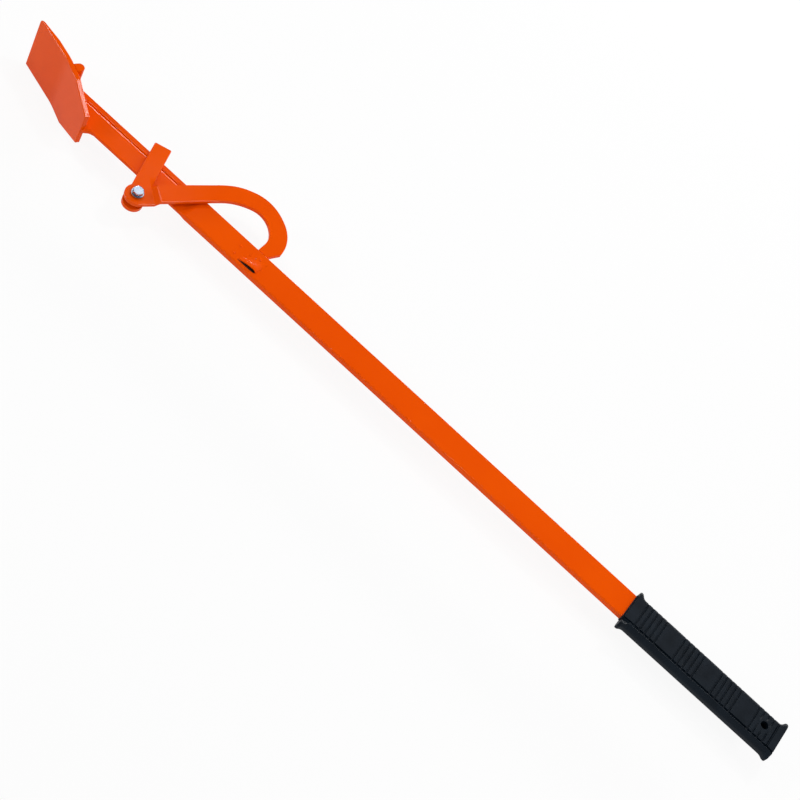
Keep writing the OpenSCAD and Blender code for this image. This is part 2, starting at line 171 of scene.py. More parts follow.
@dataclass(frozen=True)
class Finish:
    """A mottled finish with uneven gloss and a fine surface; each kind sets its values.

    mottle drives the colour, gloss the roughness and skin the bump. Without gloss the
    mottle drives both, without spread the roughness is even, without skin it is smooth.
    """

    name: str
    dark: tuple
    light: tuple
    roughness: float
    mottle: Grain
    gloss: Grain | None = None
    spread: tuple[float, float] | None = None
    skin: Grain | None = None
    relief: float = 0.0
    depth: float = 0.0
    sockets: tuple[tuple[str, float], ...] = ()

    def material(self) -> bpy.types.Material:
        """Builds the material on Object coordinates.

        Returns:
            The material.
        """
        bench = NodeBench(bpy.data.materials.new(self.name))
        into = bench.shader.inputs
        where = bench.add("TexCoord").outputs["Object"]
        mottle = bench.noise(where, self.mottle)
        bench.join(bench.ramp(mottle, self.dark, self.light), into["Base Color"])
        into["Roughness"].default_value = self.roughness
        if self.spread:
            less, more = self.spread
            rough = bench.add("MapRange", From_Min=0.3, From_Max=0.7,
                              To_Min=self.roughness - less, To_Max=self.roughness + more)
            gloss = bench.noise(where, self.gloss) if self.gloss else mottle
            bench.join(gloss, rough.inputs["Value"])
            bench.join(rough.outputs["Result"], into["Roughness"])
        if self.skin:
            bump = bench.add("Bump", Strength=self.relief, Distance=self.depth)
            bench.join(bench.noise(where, self.skin), bump.inputs["Height"])
            bench.join(bump.outputs["Normal"], into["Normal"])
        for socket, value in self.sockets:
            into[socket].default_value = value
        return bench.owner


@dataclass(frozen=True)
class PowderCoat(Finish):
    """Baked powder paint on steel: glossy, with a fine orange-peel surface."""

    name: str = "orange_powder_coat"
    dark: tuple = srgb(229, 76, 0)
    light: tuple = srgb(234, 82, 0)
    roughness: float = 0.12
    mottle: Grain = (9.0, 3.0, 0.55)
    gloss: Grain = (60.0, 4.0, 0.6)
    spread: tuple[float, float] = (0.03, 0.04)
    skin: Grain = (620.0, 2.0, 0.5)
    relief: float = 0.35
    depth: float = 0.00001
    sockets: tuple[tuple[str, float], ...] = (("IOR", 1.16),)


@dataclass(frozen=True)
class ZincPlate(Finish):
    """Clear-passivated zinc on bolt, nut, washers and bush."""

    name: str = "zinc_plate"
    dark: tuple = srgb(150, 164, 186)
    light: tuple = srgb(206, 216, 230)
    roughness: float = 0.13
    mottle: Grain = (190.0, 3.0, 0.5)
    spread: tuple[float, float] = (0.05, 0.1)
    skin: Grain = (2600.0, 2.0, 0.5)
    relief: float = 0.06
    depth: float = 0.00001
    sockets: tuple[tuple[str, float], ...] = (("Metallic", 1.0),)


@dataclass(frozen=True)
class MouldedRubber(Finish):
    """Blue-black moulded rubber with a fine spark-eroded grain and slight bloom."""

    name: str = "moulded_rubber"
    dark: tuple = srgb(4, 13, 22)
    light: tuple = srgb(11, 22, 32)
    roughness: float = 0.5
    mottle: Grain = (38.0, 4.0, 0.6)
    spread: tuple[float, float] = (0.05, 0.08)
    skin: Grain = (1500.0, 3.0, 0.6)
    relief: float = 0.5
    depth: float = 0.00008
    sockets: tuple[tuple[str, float], ...] = (("Specular IOR Level", 0.14),)


@dataclass(frozen=True)
class PaintedShadeSteel(Finish):
    """Near-black steel that paints shade in the catch's pocket and in the gap at the pivot, mottled
    rust-brown.
    """

    name: str = "painted_shade_steel"
    dark: tuple = srgb(20, 12, 9)
    light: tuple = srgb(52, 26, 14)
    roughness: float = 0.7
    mottle: Grain = (160.0, 4.0, 0.6)
    sockets: tuple[tuple[str, float], ...] = (("Specular IOR Level", 0.2),)


class Finishes:
    """One material for each finish, built once."""

    def __init__(self) -> None:
        """Builds the materials of the slots and the dark steel that paints shade."""
        self.of = {Slot.PAINT: PowderCoat().material(), Slot.ZINC: ZincPlate().material(),
                   Slot.RUBBER: MouldedRubber().material()}
        # painted shade: near-black material for the catch's pocket and the ring in the pivot gap
        self.inside = PaintedShadeSteel().material()


# Bench work


def at(x: float, y: float, z: float = 0.0) -> Vector:
    """Gives a point or a direction, level unless z is given."""
    return Vector((x, y, z))


def polar(angle: float) -> Vector:
    """Gives the level direction at an angle in degrees."""
    return at(math.cos(math.radians(angle)), math.sin(math.radians(angle)))


def only(kind: type, geom: Iterable[object]) -> list:
    """Picks the elements of one kind from a mixed list."""
    return [item for item in geom if isinstance(item, kind)]


def span(edge: BMEdge, axis: int) -> float:
    """Gives how far an edge reaches along an axis."""
    return abs(edge.verts[0].co[axis] - edge.verts[1].co[axis])


def middle_of(edge: BMEdge) -> Vector:
    """Gives the middle of an edge."""
    return (edge.verts[0].co + edge.verts[1].co) / 2


def clip(value: float) -> float:
    """Keeps a value between 0 and 1."""
    return min(1.0, max(0.0, value))


def smooth(share: float) -> float:
    """Eases a share from 0 to 1 at both ends."""
    return share * share * (3 - 2 * share)


def sweep_between(start: Vector, stop: Vector) -> float:
    """Gives the left turn in degrees from one level direction to another."""
    return math.degrees(math.atan2(stop.y, stop.x) - math.atan2(start.y, start.x)) % 360


def face_out(bm: BMesh) -> None:
    """Turns the faces of a mesh outwards."""
    bmesh.ops.recalc_face_normals(bm, faces=bm.faces)


class Pen:
    """Draws an outline in a level plane with extrusions and spins, then fills it."""

    def __init__(self, bm: BMesh, start: Vector, level: float = 0.0) -> None:
        """Sets the pen down.

        Args:
            bm: Mesh to draw in.
            start: First corner; its x and y count.
            level: Height of the plane.
        """
        self.bm = bm
        self.level = level
        self.first = bm.verts.new((start.x, start.y, level))
        self.tip = self.first
        self.drawn: list[BMEdge] = []

    def line(self, *corners: Vector) -> "Pen":
        """Draws straight to each corner in turn.

        Args:
            *corners: Corners; their x and y count.

        Returns:
            The pen, for the next stroke.
        """
        for corner in corners:
            out = bmesh.ops.extrude_vert_indiv(self.bm, verts=[self.tip])
            self.tip = out["verts"][0]
            self.tip.co = (corner.x, corner.y, self.level)
            self.drawn += out["edges"]
        return self

    def arc(self, centre: Vector, turn: float, step: float = 3.0) -> "Pen":
        """Spins the tip about a centre.

        Args:
            centre: Centre of the arc.
            turn: Angle in degrees, left turns positive.
            step: Largest angle between two points.

        Returns:
            The pen, for the next stroke.
        """
        count = max(1, math.ceil(abs(turn) / step))
        before = set(self.bm.edges)
        out = bmesh.ops.spin(self.bm, geom=[self.tip], cent=(centre.x, centre.y, self.level),
                             axis=(0, 0, 1), dvec=(0, 0, 0), angle=math.radians(turn),
                             steps=count, use_merge=False, use_duplicate=False)
        self.tip = only(BMVert, out["geom_last"])[0]
        self.drawn += [edge for edge in self.bm.edges if edge not in before]
        return self

    def plate(self, height: float) -> None:
        """Closes the outline, fills it with a face and extrudes that to a plate.

        Args:
            height: Distance to extrude, along Z.
        """
        self.drawn.append(self.bm.edges.new((self.tip, self.first)))
        face = bmesh.ops.contextual_create(self.bm, geom=self.drawn)["faces"][0]
        out = bmesh.ops.extrude_face_region(self.bm, geom=[face], use_keep_orig=True)
        bmesh.ops.translate(self.bm, vec=(0, 0, height), verts=only(BMVert, out["geom"]))
        face_out(self.bm)


def block(bm: BMesh, size: tuple[float, float, float], centre_x: float = 0.0) -> None:
    """Makes a box whose middle lies on the X axis.

    Args:
        bm: Mesh to add to.
        size: Its size along each axis.
        centre_x: Where its middle lies.
    """
    bmesh.ops.create_cube(bm, size=1.0)
    bmesh.ops.scale(bm, vec=size, verts=bm.verts)
    bmesh.ops.translate(bm, vec=(centre_x, 0, 0), verts=bm.verts)


def draw_out(bm: BMesh, faces: list[BMFace], push: float,
             shrink: tuple[float, float] | None = None,
             about: Vector | None = None) -> list[BMFace]:
    """Extrudes end faces along X.

    Args:
        bm: Mesh that holds the faces.
        faces: The end faces.
        push: Distance along X.
        shrink: Factors on their width and depth, if they change.
        about: Point that the shrinking keeps, or none for the middle of the end.

    Returns:
        The new end faces.
    """
    out = bmesh.ops.extrude_face_region(bm, geom=faces, use_keep_orig=False)
    bmesh.ops.delete(bm, geom=[face for face in faces if face.is_valid], context="FACES_ONLY")
    ring = only(BMVert, out["geom"])
    if shrink:
        kept = sum((vert.co for vert in ring), Vector()) / len(ring) if about is None else about
        bmesh.ops.scale(bm, vec=(1, *shrink), verts=ring, space=Matrix.Translation(-kept))
    bmesh.ops.translate(bm, vec=(push, 0, 0), verts=ring)
    return only(BMFace, out["geom"])


def bend_edges(bm: BMesh, least: float, most: float = 181.0) -> list[BMEdge]:
    """Finds the edges whose faces meet at an angle in a range.

    Args:
        bm: Mesh to search.
        least: Smallest angle in degrees.
        most: Largest angle in degrees.

    Returns:
        The edges.
    """
    low, high = math.radians(least), math.radians(most)
    return [edge for edge in bm.edges
            if edge.is_manifold and low < edge.calc_face_angle(0.0) < high]


def stands_at(edge: BMEdge, *spots: Vector) -> bool:
    """Tells whether an upright edge stands on one of the spots."""
    return span(edge, Z) > 1 and any((middle_of(edge).xy - spot.xy).length < 0.5 for spot in spots)


def round_edges(bm: BMesh, edges: Sequence[BMEdge], radius: float, segments: int = 3,
                clamp: bool = True) -> None:
    """Bevels edges to a round.

    Args:
        bm: Mesh that holds the edges.
        edges: Edges to round.
        radius: Distance of the bevel from the edge.
        segments: Faces across the round.
        clamp: Whether short edges hold the bevel back.
    """
    bmesh.ops.bevel(bm, geom=list(edges), offset=radius, offset_type="OFFSET",
                    segments=segments, profile=0.5, affect="EDGES", material=-1,
                    clamp_overlap=clamp)


def slice_off(bm: BMesh, point: Vector, away: Vector) -> None:
    """Cuts away what lies beyond a plane and closes the cut.

    Args:
        bm: Mesh to cut.
        point: A point of the plane.
        away: Normal that points at the waste.
    """
    bmesh.ops.bisect_plane(bm, geom=bm.verts[:] + bm.edges[:] + bm.faces[:], dist=CUT_REACH,
                           plane_co=point, plane_no=away, clear_outer=True)
    rim = [edge for edge in bm.edges if edge.is_boundary]
    bmesh.ops.holes_fill(bm, edges=rim, sides=0)


def score(bm: BMesh, point: Vector, across: Vector) -> None:
    """Scores a plane through the mesh without parting it.

    Args:
        bm: Mesh to score.
        point: A point of the plane.
        across: Normal of the plane.
    """
    bmesh.ops.bisect_plane(bm, geom=bm.verts[:] + bm.edges[:] + bm.faces[:],
                           dist=CUT_REACH, plane_co=point, plane_no=across)


def drill(bm: BMesh, centre: Vector, radius: float, window: float, segments: int = 48,
          facing: float = 0.99) -> None:
    """Drills a round hole along Z through two level faces.

    Args:
        bm: Mesh to drill.
        centre: Centre of the hole.
        radius: Radius of the hole.
        window: Half side of the square that is opened round the hole.
        segments: Sides of the hole.
        facing: Least share of the normal along Z that counts as a level face.
    """
    rims = []
    for up in (-1, 1):
        def level(face: BMFace) -> bool:
            """Tells whether a face is level and on this side."""
            return face.normal.z * up > facing
        bm.normal_update()
        for axis in (X_AXIS, Y_AXIS):
            for side in (-1, 1):
                spot = centre + axis * side * window
                found = [face for face in bm.faces if level(face)]
                geom = set(found)
                for face in found:
                    geom.update(face.edges)
                    geom.update(face.verts)
                bmesh.ops.bisect_plane(bm, geom=list(geom), dist=CUT_REACH,
                                       plane_co=spot, plane_no=axis)
        inside = [face for face in bm.faces if level(face)
                  and max(abs(face.calc_center_median().x - centre.x),
                          abs(face.calc_center_median().y - centre.y)) < window]
        height = max((vert.co.z for face in inside for vert in face.verts), key=lambda z: z * up)
        rim_edges = {edge for face in inside for edge in face.edges
                     if sum(other in inside for other in edge.link_faces) == 1}
        bmesh.ops.delete(bm, geom=inside, context="FACES_ONLY")
        ring = bmesh.ops.create_circle(bm, segments=segments, radius=radius,
                                       matrix=Matrix.Translation((centre.x, centre.y, height)))
        ring_edges = {edge for vert in ring["verts"] for edge in vert.link_edges}
        bmesh.ops.bridge_loops(bm, edges=list(rim_edges | ring_edges))
        rims += list(ring_edges)
    bmesh.ops.bridge_loops(bm, edges=rims)
    loose = [edge for edge in bm.edges if not edge.link_faces]
    bmesh.ops.delete(bm, geom=loose, context="EDGES")
    face_out(bm)


def turn(bm: BMesh, profile: Sequence[tuple[float, float]], centre: Vector,
         segments: int = 64) -> None:
    """Turns a closed profile about an upright axis.

    Args:
        bm: Mesh to add to.
        profile: Radius and height of each corner, in order.
        centre: A point of the axis.
        segments: Steps of the full turn.
    """
    corners = [bm.verts.new((centre.x + radius, centre.y, height)) for radius, height in profile]
    edges = [bm.edges.new(pair) for pair in zip(corners, corners[1:] + corners[:1])]
    bmesh.ops.spin(bm, geom=corners + edges, cent=(centre.x, centre.y, 0), axis=(0, 0, 1),
                   dvec=(0, 0, 0), angle=2 * math.pi, steps=segments, use_merge=True,
                   use_duplicate=False)
    bmesh.ops.remove_doubles(bm, verts=bm.verts, dist=0.0005)
    face_out(bm)


def lay_bead(bm: BMesh, start: Vector, end: Vector, radius: float, seed: float,
             ripple: float = 0.07, pitch: float = 1.6, blunt: float = 0.45) -> None:
    """Lays a rippled weld bead with tapered ends between two points.

    Args:
        bm: Mesh to add to.
        start: Where the bead starts.
        end: Where it ends.
        radius: Radius of the bead.
        seed: Offset that makes each bead its own.
        ripple: Height of the ripples as a share of the radius.
        pitch: Distance between two ripples.
        blunt: Radius of its ends as a share of the radius.
    """
    run = end - start
    turn_to = run.to_track_quat("Z", "Y").to_matrix().to_4x4()
    size = radius * blunt
    made = bmesh.ops.create_circle(bm, cap_ends=True, segments=16, radius=size,
                                   matrix=Matrix.Translation(start) @ turn_to)
    face = made["verts"][0].link_faces[0]
    steps = max(8, round(run.length / pitch) * 4)
    for index in range(1, steps + 1):
        share = index / steps
        ends = min(1.0, blunt + 0.55 * math.sin(math.pi * share) * run.length / (3 * radius))
        wave = 1 + ripple * math.cos(2 * math.pi * share * run.length / pitch)
        wander = 1 + 0.06 * noise.noise(Vector((share * run.length / 4, seed, 0.5)))
        wanted = radius * ends * wave * wander
        out = bmesh.ops.extrude_discrete_faces(bm, faces=[face])
        face = out["faces"][0]
        bmesh.ops.translate(bm, vec=run / steps, verts=face.verts)
        middle = start + run * share
        bmesh.ops.scale(bm, vec=(wanted / size,) * 3, verts=face.verts,
                        space=Matrix.Translation(-middle))
        size = wanted


def hex_ring(bm: BMesh, centre: Vector, flats: float, height: float, drop_from: float = 0.0,
             segments: int = 48) -> list[BMEdge]:
    """Makes a ring of vertices on a hexagon from a circle.

    Args:
        bm: Mesh to add to.
        centre: Centre of the hexagon.
        flats: Width across the flats.
        height: Height of the ring.
        drop_from: Radius from which the ring drops at 30 degrees, or 0 for a level ring.
        segments: Vertices of the ring.

    Returns:
        The edges of the ring.
    """
    made = bmesh.ops.create_circle(bm, segments=segments, radius=1.0,
                                   matrix=Matrix.Translation((centre.x, centre.y, height)))
    for vert in made["verts"]:
        spoke = at(vert.co.x - centre.x, vert.co.y - centre.y)
        angle = math.degrees(math.atan2(spoke.y, spoke.x)) % 60 - 30
        reach = flats / 2 / math.cos(math.radians(angle))
        vert.co = Vector((centre.x, centre.y, height)) + spoke.normalized() * reach
        if drop_from:
            drop = (reach - abs(drop_from)) * math.tan(math.radians(30))
            vert.co.z -= drop * math.copysign(1, drop_from)
    return list({edge for vert in made["verts"] for edge in vert.link_edges})


# Sub-assemblies


@dataclass
class SubAssembly:
    """A group of pieces that share the finishes."""

    finishes: Finishes

    def settle(self, bm: BMesh, name: str, node: str, crisp: float = 50.0,
               slot: Slot = Slot.PAINT, body: Body = Body.LEVER, with_painted_shade: bool = False) -> None:
        """Moves a mesh into the frame, makes it a piece and fastens it to its body.

        Args:
            bm: Mesh in the shop frame; it is freed.
            name: Name of the piece.
            node: CAD node that it stands for.
            crisp: Angle in degrees above which an edge shades sharp.
            slot: Slot the piece takes its finish from.
            body: Body it rides on.
            with_painted_shade: Whether the dark steel that paints shade follows as its second
                material.
        """
        bmesh.ops.transform(bm, matrix=SHOP_TO_FRAME, verts=bm.verts)
        mesh = bpy.data.meshes.new(name)
        bm.to_mesh(mesh)
        bm.free()
        piece = bpy.data.objects.new(name, mesh)
        bpy.context.scene.collection.objects.link(piece)
        mesh.materials.append(self.finishes.of[slot])
        # The second material is the dark steel that paints shade.
        if with_painted_shade:
            mesh.materials.append(self.finishes.inside)
        mesh.polygons.foreach_set("use_smooth", [True] * len(mesh.polygons))
        mesh.set_sharp_from_angle(angle=math.radians(crisp))
        piece.modifiers.new("weighted_normals", "WEIGHTED_NORMAL").keep_sharp = True
        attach(piece, body.value)
        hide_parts(node)
        LOG.info("%s: %d faces, rides on %s", name, len(mesh.polygons), body.value)


@dataclass
class Blade(SubAssembly):
    """The bent blade with its heel bar and the weld that joins both to the bar."""

    width: float = 92.0
    thick: float = 6.5
    edge_thick: float = 1.6
    bevel_length: float = 38.0
    nose_length: float = 68.0
    neck_length: float = 77.0
    shoulder_at: float = 31.0
    root_width: float = 54.0
    nose_angle: float = 18.0
    neck_angle: float = 26.6
    root: Vector = field(default_factory=lambda: at(-174.4, -29.5))
    heel_at: float = 8.0
    heel_width: float = 12.0
    heel_height: float = 12.0
    heel_flat: float = 0.3
    heel_round: float = 0.8
    bend_run: float = 7.0
    near_corner: float = 7.5
    far_corner: float = 1.6
    edge_round: float = 0.9
    bar_half: float = 20.0
    bar_front: float = 2.5
    fill_half: float = 2.9
    fill_round: float = 1.0
    fill_curve: tuple = ((2.6, 0.9), (4.6, 1.9), (6.6, 4.1), (8.6, 6.5), (11.4, 8.3), (15.4, 9.5),
                         (15.4, 11.5))
    bead_sink: float = 0.3
    long_bead: float = 2.5
    short_bead: float = 2.1
    short_run: float = 5.0

    def __post_init__(self) -> None:
        """Works out the corners that the pieces share."""
        self.neck = polar(-self.neck_angle)
        self.nose = polar(180 - self.nose_angle)
        self.neck_out = polar(90 - self.neck_angle)
        self.nose_out = polar(90 - self.nose_angle)
        self.bend = self.root - self.neck * self.neck_length
        self.tip = self.bend + self.nose * self.nose_length
        middle = (self.nose_out + self.neck_out) / (1 + self.nose_out.dot(self.neck_out))
        self.bend_back = self.bend + middle * self.thick
        self.root_back = self.root + self.neck_out * self.thick
        self.heel_near = self.bend_back + self.neck * self.heel_at
        self.heel_far = self.heel_near + self.neck * self.heel_width
        slope = self.neck.y / self.neck.x
        self.low_corner = Vector((self.root_back.x + (-self.bar_half - self.root_back.y) / slope,
                                  -self.bar_half, 0))

    def build(self) -> None:
        """Builds the blade, the heel bar and the welds."""
        self.plate()
        self.heel()
        self.welds()

    def plate(self) -> None:
        """Extrudes the side view, rounds the bend, tapers the neck and breaks the edges."""
        bm = bmesh.new()
        bevel_top = self.tip - self.nose * self.bevel_length + self.nose_out * self.thick
        pen = Pen(bm, self.tip, -self.width / 2)
        pen.line(self.bend, self.root, self.root_back, self.bend_back, bevel_top,
                 self.tip + self.nose_out * self.edge_thick)
        pen.plate(self.width)
        round_edges(bm, [edge for edge in bend_edges(bm, 2.0)
                         if stands_at(edge, self.bend, self.bend_back)], self.bend_run, 6)
        narrowing = (self.width - self.root_width) / 2 / (self.neck_length - self.shoulder_at)
        for side in (-1, 1):
            corner = self.bend + self.neck * self.shoulder_at + at(0, 0, side * self.width / 2)
            slice_off(bm, corner, self.neck * narrowing + at(0, 0, side))
        for side, radius in ((1, self.near_corner), (-1, self.far_corner)):
            round_edges(bm, [edge for edge in bend_edges(bm, 60.0)
                             if self.is_tip_corner(edge) and edge.verts[0].co.z * side > 0],
                        radius, 6)
        round_edges(bm, bend_edges(bm, 17.0), self.edge_round, 1)
        self.settle(bm, "blade_plate", "blade", 20.0)

    def is_tip_corner(self, edge: BMEdge) -> bool:
        """Looks for the two short corners of the cutting edge.

        Args:
            edge: Edge of the blade.

        Returns:
            Whether the edge is one of them.
        """
        middle = middle_of(edge)
        return (span(edge, Z) < 0.1 and abs(middle.z) > self.width / 2 - 1
                and (middle - self.tip).xy.length < 2)

    def heel(self) -> None:
        """Rounds the back of a square bar and seats it on the neck."""
        bm = bmesh.new()
        block(bm, (self.heel_width, self.heel_height, self.width))
        round_edges(bm, [edge for edge in bm.edges
                         if all(vert.co.y > 0 for vert in edge.verts) and span(edge, Z) > 1],
                    self.heel_width / 2 - self.heel_flat, 8)
        round_edges(bm, [edge for edge in bend_edges(bm, 40.0)
                         if all(vert.co.y > 0.1 - self.heel_height / 2 for vert in edge.verts)],
                    self.heel_round, 3)
        seat = (self.heel_near + self.neck * self.heel_width / 2
                + self.neck_out * self.heel_height / 2)
        bmesh.ops.rotate(bm, cent=(0, 0, 0), verts=bm.verts,
                         matrix=Matrix.Rotation(math.radians(-self.neck_angle), 3, "Z"))
        bmesh.ops.translate(bm, vec=seat, verts=bm.verts)
        self.settle(bm, "heel_bar_round", "heel_bar")

    def welds(self) -> None:
        """Lays the beads on both faces of the bar and fills the hollow corner below it."""
        bm = bmesh.new()
        pen = Pen(bm, self.low_corner + at(6, 4), -self.fill_half)
        pen.line(self.low_corner - self.neck * 4, self.root - self.neck * 2 + self.neck_out)
        pen.line(*(self.root + at(*spot) for spot in self.fill_curve))
        pen.plate(2 * self.fill_half)
        round_edges(bm, bend_edges(bm, 60.0), self.fill_round, 3)
        for side in (-1, 1):
            face = at(0, 0, side * (self.bar_front - self.bead_sink))
            lay_bead(bm, self.heel_far + self.neck * 1.5 + face, self.low_corner + face,
                     self.long_bead, side)
            lay_bead(bm, self.heel_far + face,
                     self.heel_far + self.neck_out * self.short_run + face,
                     self.short_bead, side + 5)
        self.settle(bm, "head_welds", "blade_welds")


@dataclass
class Shaft(SubAssembly):
    """The flat bar with its grooves, the rectangular tube and the weld at the tube mouth."""

    blade: Blade
    bar_width: float = 40.0
    bar_thick: float = 5.0
    groove_y: float = 11.0
    groove_lip: float = 2.7
    groove_slope: float = 0.55
    groove_slot: float = 1.1
    groove_depth: float = 1.7
    bar_blank: float = 240.0
    bar_round: float = 0.8
    tang_length: float = 62.0
    tang_shrink: tuple[float, float] = (0.885, 0.98)
    tube_width: float = 40.0
    tube_depth: float = 10.0
    tube_wall: float = 2.0
    tube_corner: float = 2.0
    tube_end: float = 950.0
    mouth_depth: float = 70.0
    mouth_round: float = 0.4
    weld_run: float = 12.0
    weld_lap: float = 0.3
    weld_wave: float = 0.04

    def build(self) -> None:
        """Builds the bar, the tube and the mouth weld."""
        self.bar()
        self.tube()
        self.mouth_weld()

    def bar(self) -> None:
        """Extrudes the grooved section, cuts it to the blade and adds the tongue."""
        bm = bmesh.new()
        half, front = self.bar_width / 2, self.bar_thick / 2
        slot = self.groove_slot
        lips = ((-self.groove_lip, 0.0), (-slot, self.groove_slope),
                (-slot * 0.6, self.groove_depth), (slot * 0.6, self.groove_depth),
                (slot, self.groove_slope), (self.groove_lip, 0.0))
        pen = Pen(bm, at(-half, -front), -self.bar_blank)
        pen.line(*(at(self.groove_y + away, depth - front) for away, depth in lips))
        pen.line(at(half, -front), at(half, front))
        pen.line(*(at(self.groove_y - away, front - depth) for away, depth in lips))
        pen.line(at(-half, front))
        pen.plate(self.bar_blank)
        bmesh.ops.transform(bm, matrix=ALONG_X, verts=bm.verts)
        face_out(bm)
        round_edges(bm, [edge for edge in bend_edges(bm, 70.0)
                         if span(edge, X) > 100 and abs(edge.verts[0].co.y) > half - 0.1],
                    self.bar_round, 9)
        slice_off(bm, self.blade.root_back, -self.blade.neck_out)
        slice_off(bm, self.blade.heel_far, -self.blade.neck)
        mouth = [face for face in bm.faces if face.normal.x > 0.99]
        draw_out(bm, mouth, self.tang_length, self.tang_shrink, Vector())
        face_out(bm)
        self.settle(bm, "grooved_bar", "upper_bar", 14.0)

    def tube_block(self, length: float, centre_x: float) -> BMesh:
        """Makes a solid length of the tube's section.

        Args:
            length: Its length.
            centre_x: Where its middle lies.

        Returns:
            The mesh.
        """
        bm = bmesh.new()
        block(bm, (length, self.tube_width, self.tube_depth), centre_x)
        round_edges(bm, [edge for edge in bm.edges if span(edge, X) > 1], self.tube_corner, 8)
        return bm

    def tube(self) -> None:
        """Rounds a long box and hollows its open mouth."""
        bm = self.tube_block(self.tube_end, self.tube_end / 2)
        mouth = [face for face in bm.faces if face.normal.x < -0.99]
        bmesh.ops.inset_region(bm, faces=mouth, thickness=self.tube_wall, use_even_offset=True)
        draw_out(bm, mouth, self.mouth_depth)
        round_edges(bm, [edge for edge in bend_edges(bm, 60.0)
                         if all(abs(vert.co.x) < 0.01 for vert in edge.verts)], self.mouth_round, 3)
        face_out(bm)
        self.settle(bm, "square_tube", "main_tube")

    def mouth_weld(self) -> None:
        """Dresses the weld round the tube mouth down to a smooth ramp on the bar."""
        bm = self.tube_block(self.weld_run, self.weld_lap - self.weld_run / 2)
        for step in range(1, 14):
            score(bm, at(self.weld_lap - self.weld_run * step / 14, 0), X_AXIS)
        for step in range(1, 10):
            score(bm, at(0, self.tube_width * (step / 10 - 0.5)), Y_AXIS)
        thin = self.bar_thick / self.tube_depth
        for vert in bm.verts:
            share = (self.weld_lap - vert.co.x) / self.weld_run
            wave = self.weld_wave * noise.noise(at(vert.co.x / 3, vert.co.y / 3, 9.0))
            vert.co.z *= 1.002 + (thin - 1) * smooth(share) + wave * math.sin(math.pi * share)
            vert.co.y *= 1.0015
        self.settle(bm, "mouth_beads", "mouth_welds")


